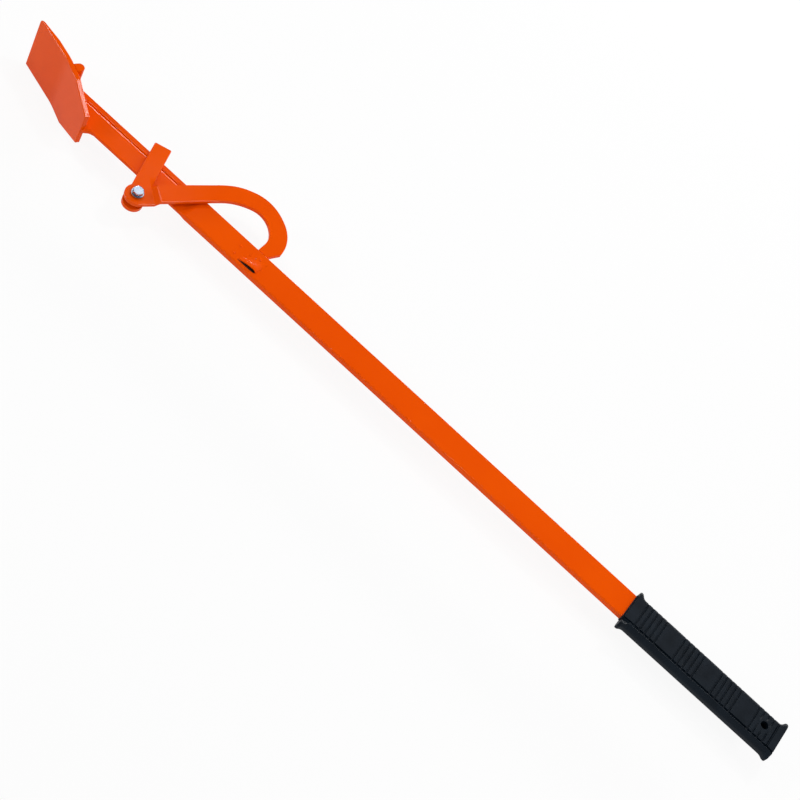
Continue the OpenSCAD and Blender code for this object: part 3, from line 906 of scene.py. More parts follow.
@dataclass
class Pivot(SubAssembly):
    """The plate behind the bar with its bolt, bush, ring, washers and lock nut."""

    axis: Vector = field(default_factory=lambda: at(-61.0, -49.3))
    plate_low: float = -8.5
    plate_high: float = -2.5
    strap_angle: float = 108.4
    strap_width: float = 23.4
    strap_end: float = 12.0
    eye: float = 14.2
    eye_drop: float = 2.8
    window: float = 7.5
    plate_round: float = 1.1
    seam_low: float = -16.5
    seam_high: float = 8.0
    seam_bead: float = 2.4
    bolt: float = 8.0
    flats: float = 13.0
    bush: float = 12.0
    bush_top: float = 10.0
    head_low: float = 12.2
    head_top: float = 17.5
    washer: float = 17.0
    washer_back: float = -10.1
    nut_back: float = -18.1
    bolt_end: float = -20.6
    thread_depth: float = 0.75
    thread_pitch: float = 1.25
    collar: float = 2.2
    ring: float = 20.0
    ring_half: float = 2.5
    fit: float = 0.1

    def __post_init__(self) -> None:
        """Works out the directions along and across the strap."""
        self.up, self.right = polar(self.strap_angle), polar(self.strap_angle - 90)

    def build(self) -> None:
        """Builds the plate, its welds and the bolt set."""
        self.plate()
        self.plate_welds()
        self.bolt_and_head()
        back, half, top = self.washer_back, self.ring_half, self.bush_top
        for name, node, low, high, outer, bore, chamfer in (
                ("turning_bush", "pivot_bush", -half, top, self.bush, self.bolt, 0.4),
                ("steel_ring", "spacer_ring", -half, half, self.ring, self.bush, 0.5),
                ("head_washer", "front_washer", top, self.head_low, self.washer, self.bolt, 0.35),
                ("nut_washer", "back_washer", back, self.plate_low, self.washer, self.bolt, 0.35)):
            # The steel ring takes the dark steel: painted shade in the gap between the hook's eye
            # and the plate.
            self.turned(name, node, low, high, outer / 2, bore / 2 + self.fit, chamfer,
                        name == "steel_ring")
        self.nut()

    def plate(self) -> None:
        """Draws the strap and its round end, drills it and breaks its edges."""
        bm = bmesh.new()
        centre = self.axis - at(0, self.eye_drop)
        sides = []
        for side in (1, -1):
            foot = self.axis + self.right * side * self.strap_width / 2
            away = foot - centre
            along = away.dot(self.up)
            run = -along + math.sqrt(along ** 2 - away.length_squared + self.eye ** 2)
            sides.append((foot + self.up * run, self.climb(foot, self.strap_end)))
        (right_touch, right_top), (left_touch, left_top) = sides
        pen = Pen(bm, left_touch, self.plate_low)
        pen.arc(centre, sweep_between(left_touch - centre, right_touch - centre))
        pen.line(right_top, left_top)
        pen.plate(self.plate_high - self.plate_low)
        drill(bm, self.axis, self.bolt / 2 + self.fit, self.window)
        round_edges(bm, [edge for edge in bend_edges(bm, 50.0)
                         if (edge.verts[0].co - self.axis).xy.length > 6], self.plate_round, 4)
        self.settle(bm, "bolt_plate", "pivot_plate")

    def climb(self, foot: Vector, height: float) -> Vector:
        """Gives the point at a height y, straight up the strap from its foot."""
        return foot + self.up * ((height - foot.y) / self.up.y)

    def plate_welds(self) -> None:
        """Lays a bead along each side of the strap."""
        bm = bmesh.new()
        level = at(0, 0, self.plate_high - 0.3)
        for side in (-1, 1):
            foot = self.axis + self.right * side * (self.strap_width / 2 + 0.2)
            lay_bead(bm, self.climb(foot, self.seam_low) + level,
                     self.climb(foot, self.seam_high) + level, self.seam_bead, side + 20)
        self.settle(bm, "strap_beads", "pivot_plate_welds")

    def turned(self, name: str, node: str, low: float, high: float, outer: float,
               inner: float, chamfer: float, with_painted_shade: bool) -> None:
        """Turns a ring with broken edges about the pivot axis.

        Args:
            name: Name of the piece.
            node: CAD node it stands for.
            low: Height of its lower face.
            high: Height of its upper face.
            outer: Outer radius.
            inner: Radius of the bore.
            chamfer: Width of the broken edges.
            with_painted_shade: Whether the dark steel that paints shade covers the whole ring.
        """
        bm = bmesh.new()
        cut = chamfer * 0.4 * 0.5
        turn(bm, [(inner, low), (outer - chamfer, low), (outer - cut, low + cut),
                  (outer, low + chamfer), (outer, high - chamfer),
                  (outer - cut, high - cut), (outer - chamfer, high), (inner, high)],
             self.axis)
        # With the dark steel the whole ring is painted shade.
        for item in bm.faces:
            item.material_index = int(with_painted_shade)
        self.settle(bm, name, node, 60.0, Slot.ZINC, with_painted_shade=with_painted_shade)

    def bolt_and_head(self) -> None:
        """Turns the shank with its thread and crowns it with the hexagon."""
        bm = bmesh.new()
        radius, root, pitch = self.bolt / 2, self.bolt / 2 - self.thread_depth, self.thread_pitch
        profile = [(0.0, self.bolt_end), (root - 0.2, self.bolt_end), (root, self.bolt_end + 0.3)]
        height = self.bolt_end + 0.3
        while height + pitch < self.washer_back:
            profile += [(radius, height + pitch * 0.45), (radius, height + pitch * 0.55),
                        (root, height + pitch * 0.95)]
            height += pitch
        profile += [(radius, height + 0.6), (radius, self.head_low), (0.0, self.head_low)]
        turn(bm, profile, self.axis)
        self.hexagon(bm, self.head_low, self.head_top, True, False)
        self.settle(bm, "hexagon_bolt", "pivot_bolt", 34.0, Slot.ZINC)

    def hexagon(self, bm: BMesh, low: float, high: float, top_cut: bool, low_cut: bool) -> None:
        """Adds a hexagonal prism with turned chamfers.

        Args:
            bm: Mesh to add to.
            low: Height of its lower face.
            high: Height of its upper face.
            top_cut: Whether the upper corners are turned off.
            low_cut: Whether the lower corners are turned off.
        """
        face_radius = self.flats * 0.475
        rings = []
        for height, cut, way in ((low, low_cut, -1), (high, top_cut, 1)):
            spot = Matrix.Translation((self.axis.x, self.axis.y, height))
            flat = bmesh.ops.create_circle(bm, cap_ends=True, segments=48, radius=face_radius,
                                           matrix=spot)
            flat_edges = list({edge for vert in flat["verts"] for edge in vert.link_edges})
            if cut and not (top_cut and low_cut):
                dish = flat["verts"][0].link_faces[:]
                for inset, sink in ((1.2, 0.2), (2.4, 0.55)):
                    bmesh.ops.inset_region(bm, faces=dish, thickness=inset, depth=-sink * way,
                                           use_even_offset=False)
            outer = hex_ring(bm, self.axis, self.flats, height, way * face_radius if cut else 0.0)
            bmesh.ops.bridge_loops(bm, edges=flat_edges + outer)
            rings += outer
        bmesh.ops.bridge_loops(bm, edges=rings)
        face_out(bm)

    def nut(self) -> None:
        """Builds the lock nut: hexagon, turned collar and the ring inside it."""
        bm = bmesh.new()
        collar = self.nut_back + self.collar
        self.hexagon(bm, collar, self.washer_back, True, True)
        outer, inner = self.flats / 2 - 0.5, self.bolt / 2 + self.fit
        back = self.nut_back
        turn(bm, [(inner, back + 0.2), (inner + 1.0, back), (outer - 0.8, back),
                  (outer - 0.2, back + 0.3), (outer, back + 0.9), (outer, collar + 0.3),
                  (inner, collar + 0.3)], self.axis)
        self.settle(bm, "lock_nut_hexagon", "lock_nut", 34.0, Slot.ZINC)


@dataclass
class Hook(SubAssembly):
    """The turning hook: eye, thumb tab, stepped arm and curve in one bent plate."""

    axis: Vector = field(default_factory=lambda: at(-61.0, -49.3))
    low: float = 2.8
    thick: float = 6.0
    eye: float = 16.0
    bore: float = 6.05
    arm_angle: float = 54.6
    arm_low_at: float = 15.95
    arm_root: float = 26.0
    arm_width: float = 24.7
    arm_length: float = 112.0
    wide: float = 93.0
    wide_turn: float = 26.4
    tight: float = 29.5
    tip_y: float = 20.4
    tip_cut: float = 9.4
    tip_rise: float = 19.0
    tab_angle: float = 108.4
    tab_width: float = 23.7
    tab_length: float = 90.5
    step_at: float = 21.5
    step_run: float = 6.2
    step_rise: float = 5.0
    step_skew: float = 1.7
    lean_from: float = 16.0
    lean_to: float = 84.0
    lean_drop: float = 5.8
    inner_bend: float = 0.9
    outer_bend: float = 2.0
    corner_round: float = 2.0
    edge_round: float = 0.8
    window: float = 9.0
    ease: float = 8.0
    notch: tuple[float, float] = (5.1, 22.3)
    notch_reach: float = 7.0

    def __post_init__(self) -> None:
        """Works out the directions and corners of the outline."""
        self.arm = polar(self.arm_angle)
        self.side = polar(self.arm_angle - 90)
        self.tab = polar(self.tab_angle)
        self.tab_right = polar(self.tab_angle - 90)
        self.across = polar(self.arm_angle - self.step_skew)
        self.arm_low = self.axis + self.side * self.arm_low_at
        self.curve_start = self.arm_low + self.arm * self.arm_length
        self.wide_centre = self.curve_start + self.side * self.wide
        heading = self.arm_angle - self.wide_turn
        self.tight_centre = (self.wide_centre + polar(heading + 90) * self.wide
                             + polar(heading - 90) * self.tight)
        self.heading = heading
        high_start = self.arm_low - self.side * self.arm_root
        high_end = self.curve_start - self.side * self.arm_width
        edge = self.axis + self.tab_right * self.tab_width / 2
        way = (high_end - high_start).normalized()
        gap = edge - high_start
        run = (gap.x * way.y - gap.y * way.x) / (self.tab.y * way.x - self.tab.x * way.y)
        self.inner_corner = edge + self.tab * run

    def build(self) -> None:
        """Draws the outline, drills the eye, folds the step and the lean, breaks the edges."""
        bm = bmesh.new()
        pen = Pen(bm, self.arm_low, self.low)
        self.draw(pen)
        pen.plate(self.thick)
        drill(bm, self.axis, self.bore, self.window)
        folds = ((self.step_at, self.inner_bend, 6),
                 (self.step_at + self.step_run, self.outer_bend, 1))
        for place, _, _ in folds:
            score(bm, self.axis + self.across * place, self.across)
        for place in (self.lean_from, self.lean_to):
            for shift in range(-8, 9, 2):
                score(bm, at(place + shift, 0), X_AXIS)
        for vert in bm.verts:
            vert.co.z += self.rise(vert.co)
        bm.normal_update()
        for place, radius, faces in folds:
            round_edges(bm, [edge for edge in bend_edges(bm, 12.0, 50.0)
                             if self.is_fold(edge, place)], radius, faces)
        tips = [self.axis + self.tab_right * side * self.tab_width / 2 + self.tab * self.tab_length
                for side in (-1, 1)]
        round_edges(bm, [edge for edge in bend_edges(bm, 60.0) if stands_at(edge, *tips)],
                    self.corner_round, 6)
        corner = self.axis + at(*self.notch)
        round_edges(bm, [edge for edge in bend_edges(bm, 50.0)
                         if (edge.verts[0].co - self.axis).xy.length > 8
                         and all((vert.co - corner).xy.length > self.notch_reach
                                 for vert in edge.verts)],
                    self.edge_round, 1, False)
        self.settle(bm, "hook_plate", "turning_hook", 18.0, body=Body.HOOK)

    def draw(self, pen: Pen) -> None:
        """Draws the outline of the flat plate.

        Args:
            pen: Pen that stands on the lower edge of the arm, beside the eye.
        """
        inner_x = self.tight_centre.x + self.tight
        outer_x = inner_x + self.arm_width
        outer = self.tight + self.arm_width
        cut_y = self.tip_y + self.tip_rise
        cut_angle = math.degrees(math.asin((cut_y - self.tight_centre.y) / outer))
        pen.line(self.curve_start)
        pen.arc(self.wide_centre, -self.wide_turn, 2.0)
        pen.arc(self.tight_centre, -(self.heading + 90), 4.0)
        pen.line(at(inner_x, self.tip_y), at(outer_x - self.tip_cut, self.tip_y))
        if cut_y < self.tight_centre.y:
            pen.line(at(outer_x, cut_y))
        pen.line(self.tight_centre + polar(max(cut_angle, 0.0)) * outer)
        pen.arc(self.tight_centre, self.heading + 90 - max(cut_angle, 0.0))
        pen.arc(self.wide_centre, self.wide_turn, 2.0)
        pen.line(self.curve_start - self.side * self.arm_width, self.inner_corner)
        half = self.tab_right * self.tab_width / 2
        touch = self.axis - half + self.tab * math.sqrt(self.eye ** 2 - self.tab_width ** 2 / 4)
        pen.line(self.axis + half + self.tab * self.tab_length,
                 self.axis - half + self.tab * self.tab_length, touch)
        pen.arc(self.axis, sweep_between(touch - self.axis, self.arm_low - self.axis) - 3.0)

    def rise(self, spot: Vector) -> float:
        """Works out how the step and the lean lift the flat plate.

        Args:
            spot: Point of the flat plate.

        Returns:
            How far it is lifted.
        """
        if (spot - self.inner_corner).dot(self.tab_right) < 0.05:
            return 0.0
        if spot.x > self.lean_from - self.ease:
            slope = (self.lean_drop + self.step_rise) / (self.lean_to - self.lean_from)
            return self.step_rise - slope * (self.eased(spot.x - self.lean_from)
                                             - self.eased(spot.x - self.lean_to))
        along = (spot - self.axis).dot(self.across)
        return self.step_rise * clip((along - self.step_at) / self.step_run)

    def eased(self, past: float) -> float:
        """Gives a distance past a bend, with the bend eased over both sides."""
        eased = (past + self.ease) ** 2 / (4 * self.ease)
        return max(0.0, past) if abs(past) >= self.ease else eased

    def is_fold(self, edge: BMEdge, place: float) -> bool:
        """Tells whether an edge lies between two broad faces at a distance along the arm."""
        return (abs((middle_of(edge) - self.axis).dot(self.across) - place) < 1.0
                and all(abs(face.normal.z) > 0.6 for face in edge.link_faces))


@dataclass
class Catch(SubAssembly):
    """The pressed catch on the tube with painted shade in its pocket and the weld spots round it.
    """

    start: float = 76.0
    end: float = 116.5
    open_y: float = -12.8
    wall_y: float = 14.0
    slot_y: float = -15.2
    face: float = 5.0
    height: float = 4.2
    sheet: float = 1.1
    foot: float = 84.0
    crest: float = 107.5
    close: float = 113.4
    clear: float = 0.02
    fade_power: float = 1.5
    reach_loss: float = 0.35
    crest_power: float = 2.2
    dent: float = 0.18
    # Reach of the dark lens that paints the shade in front of the lip.
    painted_shade_depth: float = 7.5
    dome_places: tuple = ((75.0, -10.7, 1.9), (74.6, 4.4, 1.7), (91.8, 3.4, 1.5), (99.4, 4.4, 1.8),
                          (105.0, 8.6, 1.6))

    def build(self) -> None:
        """Builds the pressed sheet with its pocket and the spots."""
        self.pressing()
        self.spots()

    def lift(self, x: float, y: float) -> float:
        """Shapes the sheet: steep at its crest, low at its foot and fading to the wall.

        Args:
            x: Place along the tube.
            y: Place across it.

        Returns:
            The height of the sheet above the tube.
        """
        across = clip((y - self.open_y) / (self.wall_y - 1 - self.open_y))
        fade = (1 - smooth(across)) ** self.fade_power
        reach = 1.0 - self.reach_loss * across
        if x < self.crest:
            run = self.crest - self.foot * reach - self.crest * (1 - reach)
            share = min(1.0, (self.crest - x) / run)
            arch = 1 - smooth(share) if across > 0.25 else 1 - share ** 1.5
        else:
            share = min(1.0, (x - self.crest) / (self.close - self.crest) / (1 + 0.4 * across))
            arch = math.sqrt(max(0.0, 1 - share ** self.crest_power))
        dent = self.dent * noise.noise(at(x / 6, y / 6, 3.0))
        return max(0.0, (self.height + dent) * arch * fade)

    def pressing(self) -> None:
        """Lifts a fine grid to the pressed shape, gives it thickness and a dark floor that paints
        the shade under it.
        """
        bm = bmesh.new()
        bmesh.ops.create_grid(bm, x_segments=60, y_segments=34, size=0.5)
        bmesh.ops.scale(bm, vec=(self.end - self.start, self.wall_y - self.open_y, 1),
                        verts=bm.verts)
        bmesh.ops.translate(bm, verts=bm.verts,
                            vec=((self.start + self.end) / 2, (self.open_y + self.wall_y) / 2, 0))
        for vert in bm.verts:
            lean = (vert.co.y - self.open_y) / (self.wall_y - self.open_y)
            lift = self.lift(vert.co.x, vert.co.y)
            vert.co.y += (1 - lean) ** 2 * lift * 0.06
            vert.co.z = self.face + self.clear + lift
        face_out(bm)
        if bm.faces[0].normal.z < 0:
            bmesh.ops.reverse_faces(bm, faces=bm.faces)
        skin = set(bm.faces)
        bmesh.ops.solidify(bm, geom=bm.faces[:], thickness=self.sheet)
        # The underside gets the dark steel: painted shade under the sheet.
        for item in bm.faces:
            if item not in skin and item.normal.z < -0.3:
                item.material_index = 1
        bm.normal_update()
        # A dark lens on the tube face in front of the lip: painted shade in the slot.
        painted_shade_bed = bmesh.ops.create_cone(bm, cap_ends=True, segments=64, radius1=1.0, radius2=1.0,
                                    depth=0.1)
        half = (self.close - self.foot) / 2 - 0.4
        for vert in painted_shade_bed["verts"]:
            along, across = vert.co.x, math.copysign(abs(vert.co.y) ** 0.5, vert.co.y)
            depth = self.painted_shade_depth * (0.08 + 0.92 * (1 + along) / 2)
            vert.co = at(self.foot + half * (1 + along), self.slot_y + depth * (1 + across) / 2,
                         self.face + self.clear + vert.co.z)
        for item in {found for vert in painted_shade_bed["verts"] for found in vert.link_faces}:
            item.material_index = 1
        self.settle(bm, "catch_pressing", "catch_plate", 45.0, with_painted_shade=True)

    def spots(self) -> None:
        """Turns the small weld domes along the closed sides of the catch."""
        bm = bmesh.new()
        for x, y, radius in self.dome_places:
            profile = [(0.0, self.face - 0.3), (radius, self.face - 0.3), (radius, self.face),
                       (radius * 0.86, self.face + radius * 0.28),
                       (radius * 0.5, self.face + radius * 0.5), (0.0, self.face + radius * 0.58)]
            turn(bm, profile, at(x, y), 20)
        self.settle(bm, "catch_weld_spots", "catch_welds")


@dataclass
class Grip(SubAssembly):
    """The moulded rubber grip: ribbed panel, finger side, two flared collars, hanging hole."""

    mouth: float = 747.078
    end: float = 997.078
    low: float = -29.0
    high: float = 22.6
    front: float = 9.0
    corner: float = 5.0
    chamfer: float = 7.0
    mouth_collars: tuple[float, float] = (4.4, 6.6)
    end_collars: tuple[float, float] = (3.4, 8.2)
    collar_length: float = 3.6
    flare: float = 8.4
    tube: tuple[float, float] = (20.0, 5.0)
    tube_gap: float = 2.2
    tube_gap_depth: float = 4.0
    seam_y: float = -20.5
    rib_start: float = 15.6
    rib_pitch: float = 8.0
    rib_width: float = 2.4
    rib_depth: float = 1.7
    land: float = 9.0
    field_pitch: float = 63.0
    fields: int = 4
    ribs: int = 5
    hole_x: float = 969.078
    hole_y: float = 2.0
    hole: float = 5.5
    slim: float = 1.7
    seam_turn: float = 6.0
    crown: float = 1.3
    lip_rise: float = 0.6
    lip_run: float = 2.0
    lip_lap: float = 0.5
    lip_round: float = 0.5
    mouth_round: float = 0.9
    hole_margin: float = 1.6
    hole_round: float = 0.7
    land_fade: float = 2.5
    flare_from: float = 14.0
    flare_over: float = 11.8
    side_ribs: tuple[float, float] = (0.08, 0.3)
    rib_flank: tuple = ((0.7, 0.0), (0.1, 0.25), (-0.45, 1.0))
    band_start: float = 7.5
    band_stop: float = 9.0

    def flare_at(self, x: float, high: bool) -> float:
        """Gives how far the collars stand out at a place along the grip.

        Args:
            x: Place along the grip.
            high: Whether the side towards +Y is asked for.

        Returns:
            The height of the collar there.
        """
        from_mouth, from_end = x - self.mouth, self.end - self.crown - x
        away = min(from_mouth, from_end)
        collar = (self.mouth_collars if from_mouth < from_end else self.end_collars)[int(high)]
        if away < self.collar_length:
            tip = (away - self.collar_length * 0.5) / (self.collar_length * 0.5)
            return collar * math.sqrt(max(0.0, 1 - 0.22 * tip * tip))
        share = clip((away - self.collar_length) / self.flare)
        return collar * (1 - math.sin(share * math.pi / 2)) ** 1.3

    def stations(self) -> list[tuple[float, float]]:
        """Lists the places of the sections along the grip.

        Returns:
            Each place with the depth of the ribs there, from 0 to 1.
        """
        places: dict[float, float] = {}
        for share in range(15):
            away = (self.collar_length + self.flare) * share / 14
            places[round(self.mouth + away, 3)] = 0.0
            places[round(self.end - self.crown - away, 3)] = 0.0
        for group in range(self.fields):
            for index in range(self.ribs):
                x = self.mouth + self.rib_start + group * self.field_pitch + index * self.rib_pitch
                for out, depth in self.rib_flank:
                    places[round(x - out, 3)] = depth
                    places[round(x + self.rib_width + out, 3)] = depth
        for index in range(1, 31):
            x = round(self.mouth + 12 + index * 7.3, 3)
            if x < self.end - 13 and min(abs(x - place) for place in places) > 1.5:
                places[x] = 0.0
        return sorted(places.items())

    def section(self, bm: BMesh) -> list[BMVert]:
        """Draws the section of the rubber as a closed ring of vertices.

        Args:
            bm: Mesh to draw in.

        Returns:
            The vertices of the ring.
        """
        pen = Pen(bm, at(self.low + self.corner, -self.front), 0.0)
        width = self.high - self.low - 2 * self.corner
        pen.line(*(at(self.low + self.corner + width * part / 6, -self.front)
                   for part in range(1, 7)))
        pen.arc(at(self.high - self.corner, -self.front + self.corner), 90, 15.0)
        pen.line(at(self.high, self.front - self.corner))
        pen.arc(at(self.high - self.corner, self.front - self.corner), 90, 15.0)
        seam = self.seam_y
        spots = [self.high - self.corner - 2.5, 12.0, 9.0, 6.0, 2.0, -2.0, -5.0, -8.0, -12.0, -16.0,
                 seam + 2.6, seam + 1.3]
        pen.line(*(at(spot, self.front) for spot in spots))
        pen.line(at(seam + 0.8, self.front - 2.4), at(seam - 1.3, self.front - 2.6),
                 at(seam - 2.0, self.front - 0.7), at(seam - 3.0, self.front - 0.3))
        pen.line(at(self.low + self.chamfer * 0.55, self.front - 1.6),
                 at(self.low + 1.6, self.front - self.chamfer * 0.72),
                 at(self.low + 0.5, self.front - self.chamfer * 0.95),
                 at(self.low, self.front - self.chamfer * 1.2),
                 at(self.low, -self.front + self.corner))
        pen.arc(at(self.low + self.corner, -self.front + self.corner), 90 - 15, 15.0)
        bm.edges.new((pen.tip, pen.first))
        return list(bm.verts)

    def build(self) -> None:
        """Extrudes the section from station to station, flares the ends and cuts the ribs."""
        bm = bmesh.new()
        ring = self.section(bm)
        bmesh.ops.transform(bm, matrix=ALONG_X, verts=ring)
        plan = {vert: vert.co.copy() for vert in ring}
        stations = self.stations()
        self.shape(plan, *stations[0])
        edges = list(bm.edges)
        first = list(edges)
        for x, depth in stations[1:]:
            out = bmesh.ops.extrude_edge_only(bm, edges=edges)
            fresh = only(BMVert, out["geom"])
            edges = [edge for edge in only(BMEdge, out["geom"])
                     if edge.verts[0] in fresh and edge.verts[1] in fresh
                     and len(edge.link_faces) == 1]
            old = {}
            for vert in fresh:
                other = next(edge.other_vert(vert) for edge in vert.link_edges
                             if edge.other_vert(vert) in plan)
                old[vert] = plan[other]
            plan = old
            self.shape(plan, x, depth)
        bmesh.ops.holes_fill(bm, edges=first, sides=0)
        bmesh.ops.holes_fill(bm, edges=edges, sides=0)
        face_out(bm)
        self.dome(bm)
        round_edges(bm, [edge for edge in bend_edges(bm, 60.0)
                         if all(abs(vert.co.x - self.mouth) < 0.01 for vert in edge.verts)],
                    self.mouth_round, 3)
        self.recess(bm)
        self.pierce(bm)
        self.settle(bm, "rubber_grip", "grip", 55.0, Slot.RUBBER)

    def lip(self) -> None:
        """Lays a thin dark rubber lip on the tube in front of the collar: painted shade for the
        shadow line at the grip's mouth.
        """
        bm = bmesh.new()
        width, depth = (2 * (size + self.lip_rise) for size in self.tube)
        block(bm, (self.lip_run + 2 * self.lip_lap, width, depth),
              self.mouth - self.lip_run / 2 + self.lip_lap)
        round_edges(bm, bend_edges(bm, 60.0), self.lip_round, 3)
        # painted shade: this dark strip stands for the shadow on the tube at the collar
        self.settle(bm, "grip_shade_lip", "grip", slot=Slot.RUBBER)

    def shape(self, plan: dict[BMVert, Vector], x: float, depth: float) -> None:
        """Moves one ring of the grip to its station.

        Args:
            plan: Vertices of the ring with their places in the plain section.
            x: Place along the grip.
            depth: Depth of the rib there, from 0 to 1.
        """
        centre = (self.low + self.high) / 2
        for vert, base in plan.items():
            y, z = base.y, base.z
            grow = self.flare_at(x, y > centre)
            clear = math.hypot(x - self.hole_x, y - self.hole_y) - self.land
            cut = depth * clip(clear / self.land_fade) * self.rib_depth
            side = clip((abs(y - centre) - self.flare_from) / self.flare_over)
            if base.y < self.seam_y + 0.8:
                y, z = self.band(base, x)
            y += math.copysign(grow * side, y - centre)
            if z > self.front - 0.01 and self.seam_y + 0.9 < base.y:
                z -= cut
            elif base.y > self.high - self.corner and base.z > 0:
                across, deep = self.side_ribs
                y -= cut * across * min(1.0, base.z / self.front + 0.3)
                z -= cut * deep * min(1.0, base.z / self.front)
            vert.co = at(x, y, z)

    def band(self, base: Vector, x: float) -> tuple[float, float]:
        """Shapes the finger side: slimmer to the end, with a rounded start behind the collar.

        Args:
            base: Point of the plain section.
            x: Place along the grip.

        Returns:
            The point's y and z at this station.
        """
        y, z = base.y, base.z
        along = (x - self.mouth) / (self.end - self.mouth)
        y += self.slim * along * min(1.0, (self.seam_y - base.y + 0.8) / 6.0)
        if z > self.front - 2.0 and base.y > self.low + 5:
            start = self.mouth + self.band_start
            past = min(self.seam_turn, max(0.0, x - start))
            left = self.seam_turn - past
            back = self.seam_turn - math.sqrt(max(0.0, self.seam_turn ** 2 - left ** 2))
            y -= back * 0.8
            strength = clip((x - start + 1.0) / 2.0) * clip((self.end - self.band_stop - x) / 3)
            z += (self.front - z) * (1 - strength)
        return y, z

    def dome(self, bm: BMesh) -> None:
        """Crowns the end face in three steps.

        Args:
            bm: Mesh of the grip.
        """
        cap = self.cap_at(bm, self.end - self.crown)
        for shrink, push in (((0.975, 0.93), 0.5), ((0.95, 0.8), 0.45), ((0.8, 0.5), 0.35)):
            cap = draw_out(bm, cap, push, shrink)
        face_out(bm)

    @staticmethod
    def cap_at(bm: BMesh, x: float) -> list[BMFace]:
        """Finds the end face at a place along the grip."""
        return [face for face in bm.faces if len(face.verts) > 20
                and all(abs(vert.co.x - x) < 0.01 for vert in face.verts)]

    def recess(self, bm: BMesh) -> None:
        """Sinks the mouth face round the tube, so that a dark gap shows there.

        Args:
            bm: Mesh of the grip.
        """
        mouth = self.cap_at(bm, self.mouth)
        ring = mouth[0].verts
        spans = [(max(vert.co[axis] for vert in ring) - min(vert.co[axis] for vert in ring)) / 2
                 for axis in (1, 2)]
        shrink = tuple((size + self.tube_gap) / span for size, span in zip(self.tube, spans))
        mouth = draw_out(bm, mouth, 0.0, shrink)
        middle = sum(vert.co.y for vert in mouth[0].verts) / len(mouth[0].verts)
        bmesh.ops.translate(bm, vec=(0, -middle, 0), verts=mouth[0].verts[:])
        draw_out(bm, mouth, self.tube_gap_depth, (1.0, 1.0))
        face_out(bm)

    def pierce(self, bm: BMesh) -> None:
        """Bores the hanging hole with a flat land round it.

        Args:
            bm: Mesh of the grip.
        """
        centre = at(self.hole_x, self.hole_y)
        drill(bm, centre, self.hole, self.hole + self.hole_margin, facing=0.2)
        round_edges(bm, [edge for edge in bend_edges(bm, 60.0)
                         if abs((edge.verts[0].co - centre).xy.length - self.hole) < 0.05
                         and span(edge, Z) < 0.05], self.hole_round, 3)


# Studio


@dataclass(frozen=True)
class SoftBox:
    """A square lamp that looks at a point."""

    name: str
    spot: tuple[float, float, float]
    look_at: tuple[float, float, float]
    size: tuple[float, float]
    power: float

    def hang(self) -> None:
        """Hangs the lamp in the scene."""
        lamp = bpy.data.lights.new(self.name, "AREA")
        lamp.shape = "RECTANGLE"
        lamp.size, lamp.size_y = self.size
        lamp.energy = self.power
        holder = bpy.data.objects.new(self.name, lamp)
        holder.location = self.spot
        aim = Vector(self.look_at) - Vector(self.spot)
        holder.rotation_euler = aim.to_track_quat("-Z", "Y").to_euler()
        holder.visible_camera = False
        bpy.context.scene.collection.objects.link(holder)


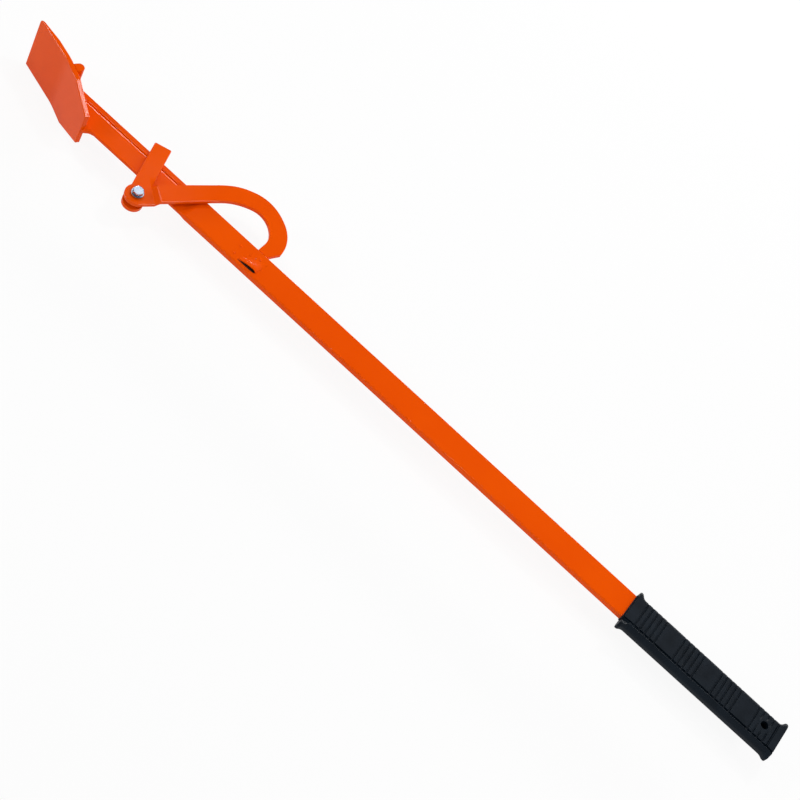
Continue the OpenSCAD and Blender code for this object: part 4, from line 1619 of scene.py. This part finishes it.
@dataclass
class Studio:
    """Pale floor, plain soft light and the camera of the photograph."""

    eye: Vector = field(default_factory=lambda: Vector((0.10222, -1.37207, 1.79970)))
    right: Vector = field(default_factory=lambda: Vector((0.73671, 0.55224, 0.39024)))
    down: Vector = field(default_factory=lambda: Vector((0.67499, -0.56601, -0.47331)))
    forward: Vector = field(default_factory=lambda: Vector((-0.0405, 0.6121, -0.78974)))
    lens: float = 78.75
    world_low: float = 0.84
    world_high: float = 0.22
    floor_grey: float = 0.86
    floor_glow: float = 0.9
    boxes: Sequence[SoftBox] = (
        SoftBox("key_box", (0.165, 0.58, 2.015), (-0.54, -0.03, 0.08), (0.22, 0.22), 9.0),
        SoftBox("second_box", (-1.5, 0.2, 1.95), (-0.37, -0.03, 0.06), (0.22, 0.22), 7.0),
        SoftBox("bolt_box", (-0.86, 1.11, 1.62), (-0.405, -0.06, 0.06), (0.24, 0.24), 0.3),
        SoftBox("top_strip", (0.1, 0.0, 2.1), (0.1, 0.0, 0.0), (2.6, 0.05), 5.0),
        SoftBox("back_strip", (0.0, 2.1, 0.57), (0.0, 0.0, 0.05), (3.2, 0.16), 28.0),
        SoftBox("front_high", (0.3, -2.1, 2.2), (0.3, 0.0, 0.05), (1.4, 0.9), 4.0),
        SoftBox("side_box", (1.48, -0.38, 1.2), (-0.37, -0.05, 0.05), (0.36, 0.36), 6.0),
        SoftBox("front_left", (-2.06, -1.25, 1.16), (-0.6, 0.0, 0.05), (0.34, 0.34), 9.0),
    )

    def build(self) -> None:
        """Sets the camera, the floor, the world and the lamps."""
        self.camera()
        self.floor()
        self.world()
        for box in self.boxes:
            box.hang()
        bpy.context.scene.view_settings.view_transform = "Standard"

    def camera(self) -> None:
        """Puts the camera where the photograph was taken."""
        lens = bpy.data.cameras.new("photo_camera")
        lens.lens = self.lens
        lens.sensor_width = 36.0
        lens.clip_start = 0.05
        lens.clip_end = 50.0
        holder = bpy.data.objects.new("photo_camera", lens)
        turn_to = Matrix((self.right, -self.down, -self.forward)).transposed()
        holder.matrix_world = Matrix.Translation(self.eye) @ turn_to.to_4x4()
        bpy.context.scene.collection.objects.link(holder)
        bpy.context.scene.camera = holder

    def floor(self) -> None:
        """Lays a plain pale floor that keeps the shadow of the lever."""
        bm = bmesh.new()
        bmesh.ops.create_grid(bm, x_segments=1, y_segments=1, size=8.0)
        mesh = bpy.data.meshes.new("studio_floor")
        bm.to_mesh(mesh)
        bm.free()
        sheet = bpy.data.objects.new("studio_floor", mesh)
        bpy.context.scene.collection.objects.link(sheet)
        bench = NodeBench(bpy.data.materials.new("pale_floor"))
        grey = (self.floor_grey,) * 3 + (1.0,)
        for socket, value in (("Base Color", grey), ("Roughness", 0.9),
                              ("Specular IOR Level", 0.1)):
            bench.shader.inputs[socket].default_value = value
        glow = bench.add("Emission", Strength=1.0, Color=(1, 1, 1, 1))
        rays = bench.add("LightPath").outputs
        seen = rays["Is Camera Ray"]
        for kind in ("Is Glossy Ray", "Is Transmission Ray"):
            both = bench.add("Math", operation="MAXIMUM")
            bench.join(seen, both.inputs[0])
            bench.join(rays[kind], both.inputs[1])
            seen = both.outputs[0]
        share = bench.add("Math", operation="MULTIPLY")
        share.inputs[1].default_value = self.floor_glow
        bench.join(seen, share.inputs[0])
        mix = bench.add("MixShader")
        bench.join(share.outputs[0], mix.inputs["Fac"])
        bench.join(bench.shader.outputs["BSDF"], mix.inputs[1])
        bench.join(glow.outputs["Emission"], mix.inputs[2])
        bench.join(mix.outputs["Shader"], bench.tree.nodes["Material Output"].inputs["Surface"])
        mesh.materials.append(bench.owner)

    def world(self) -> None:
        """Lights the room evenly, pale at the horizon and softer overhead."""
        bench = NodeBench(bpy.data.worlds.new("studio_room"))
        split = bench.add("SeparateXYZ")
        bench.join(bench.add("TexCoord").outputs["Generated"], split.inputs["Vector"])
        low, high = ((level,) * 3 + (1.0,) for level in (self.world_low, self.world_high))
        colour = bench.ramp(split.outputs["Z"], low, high, 0.1)
        bench.join(colour, bench.tree.nodes["Background"].inputs["Color"])
        bpy.context.scene.world = bench.owner


def main() -> None:
    """Builds every sub-assembly in order."""
    logging.basicConfig(level=logging.INFO, format="%(name)s: %(message)s")
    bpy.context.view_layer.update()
    finishes = Finishes()
    blade = Blade(finishes)
    blade.build()
    Shaft(finishes, blade).build()
    Pivot(finishes).build()
    Hook(finishes).build()
    Catch(finishes).build()
    grip = Grip(finishes)
    grip.build()
    grip.lip()
    Studio().build()


if __name__ == "__main__":
    main()
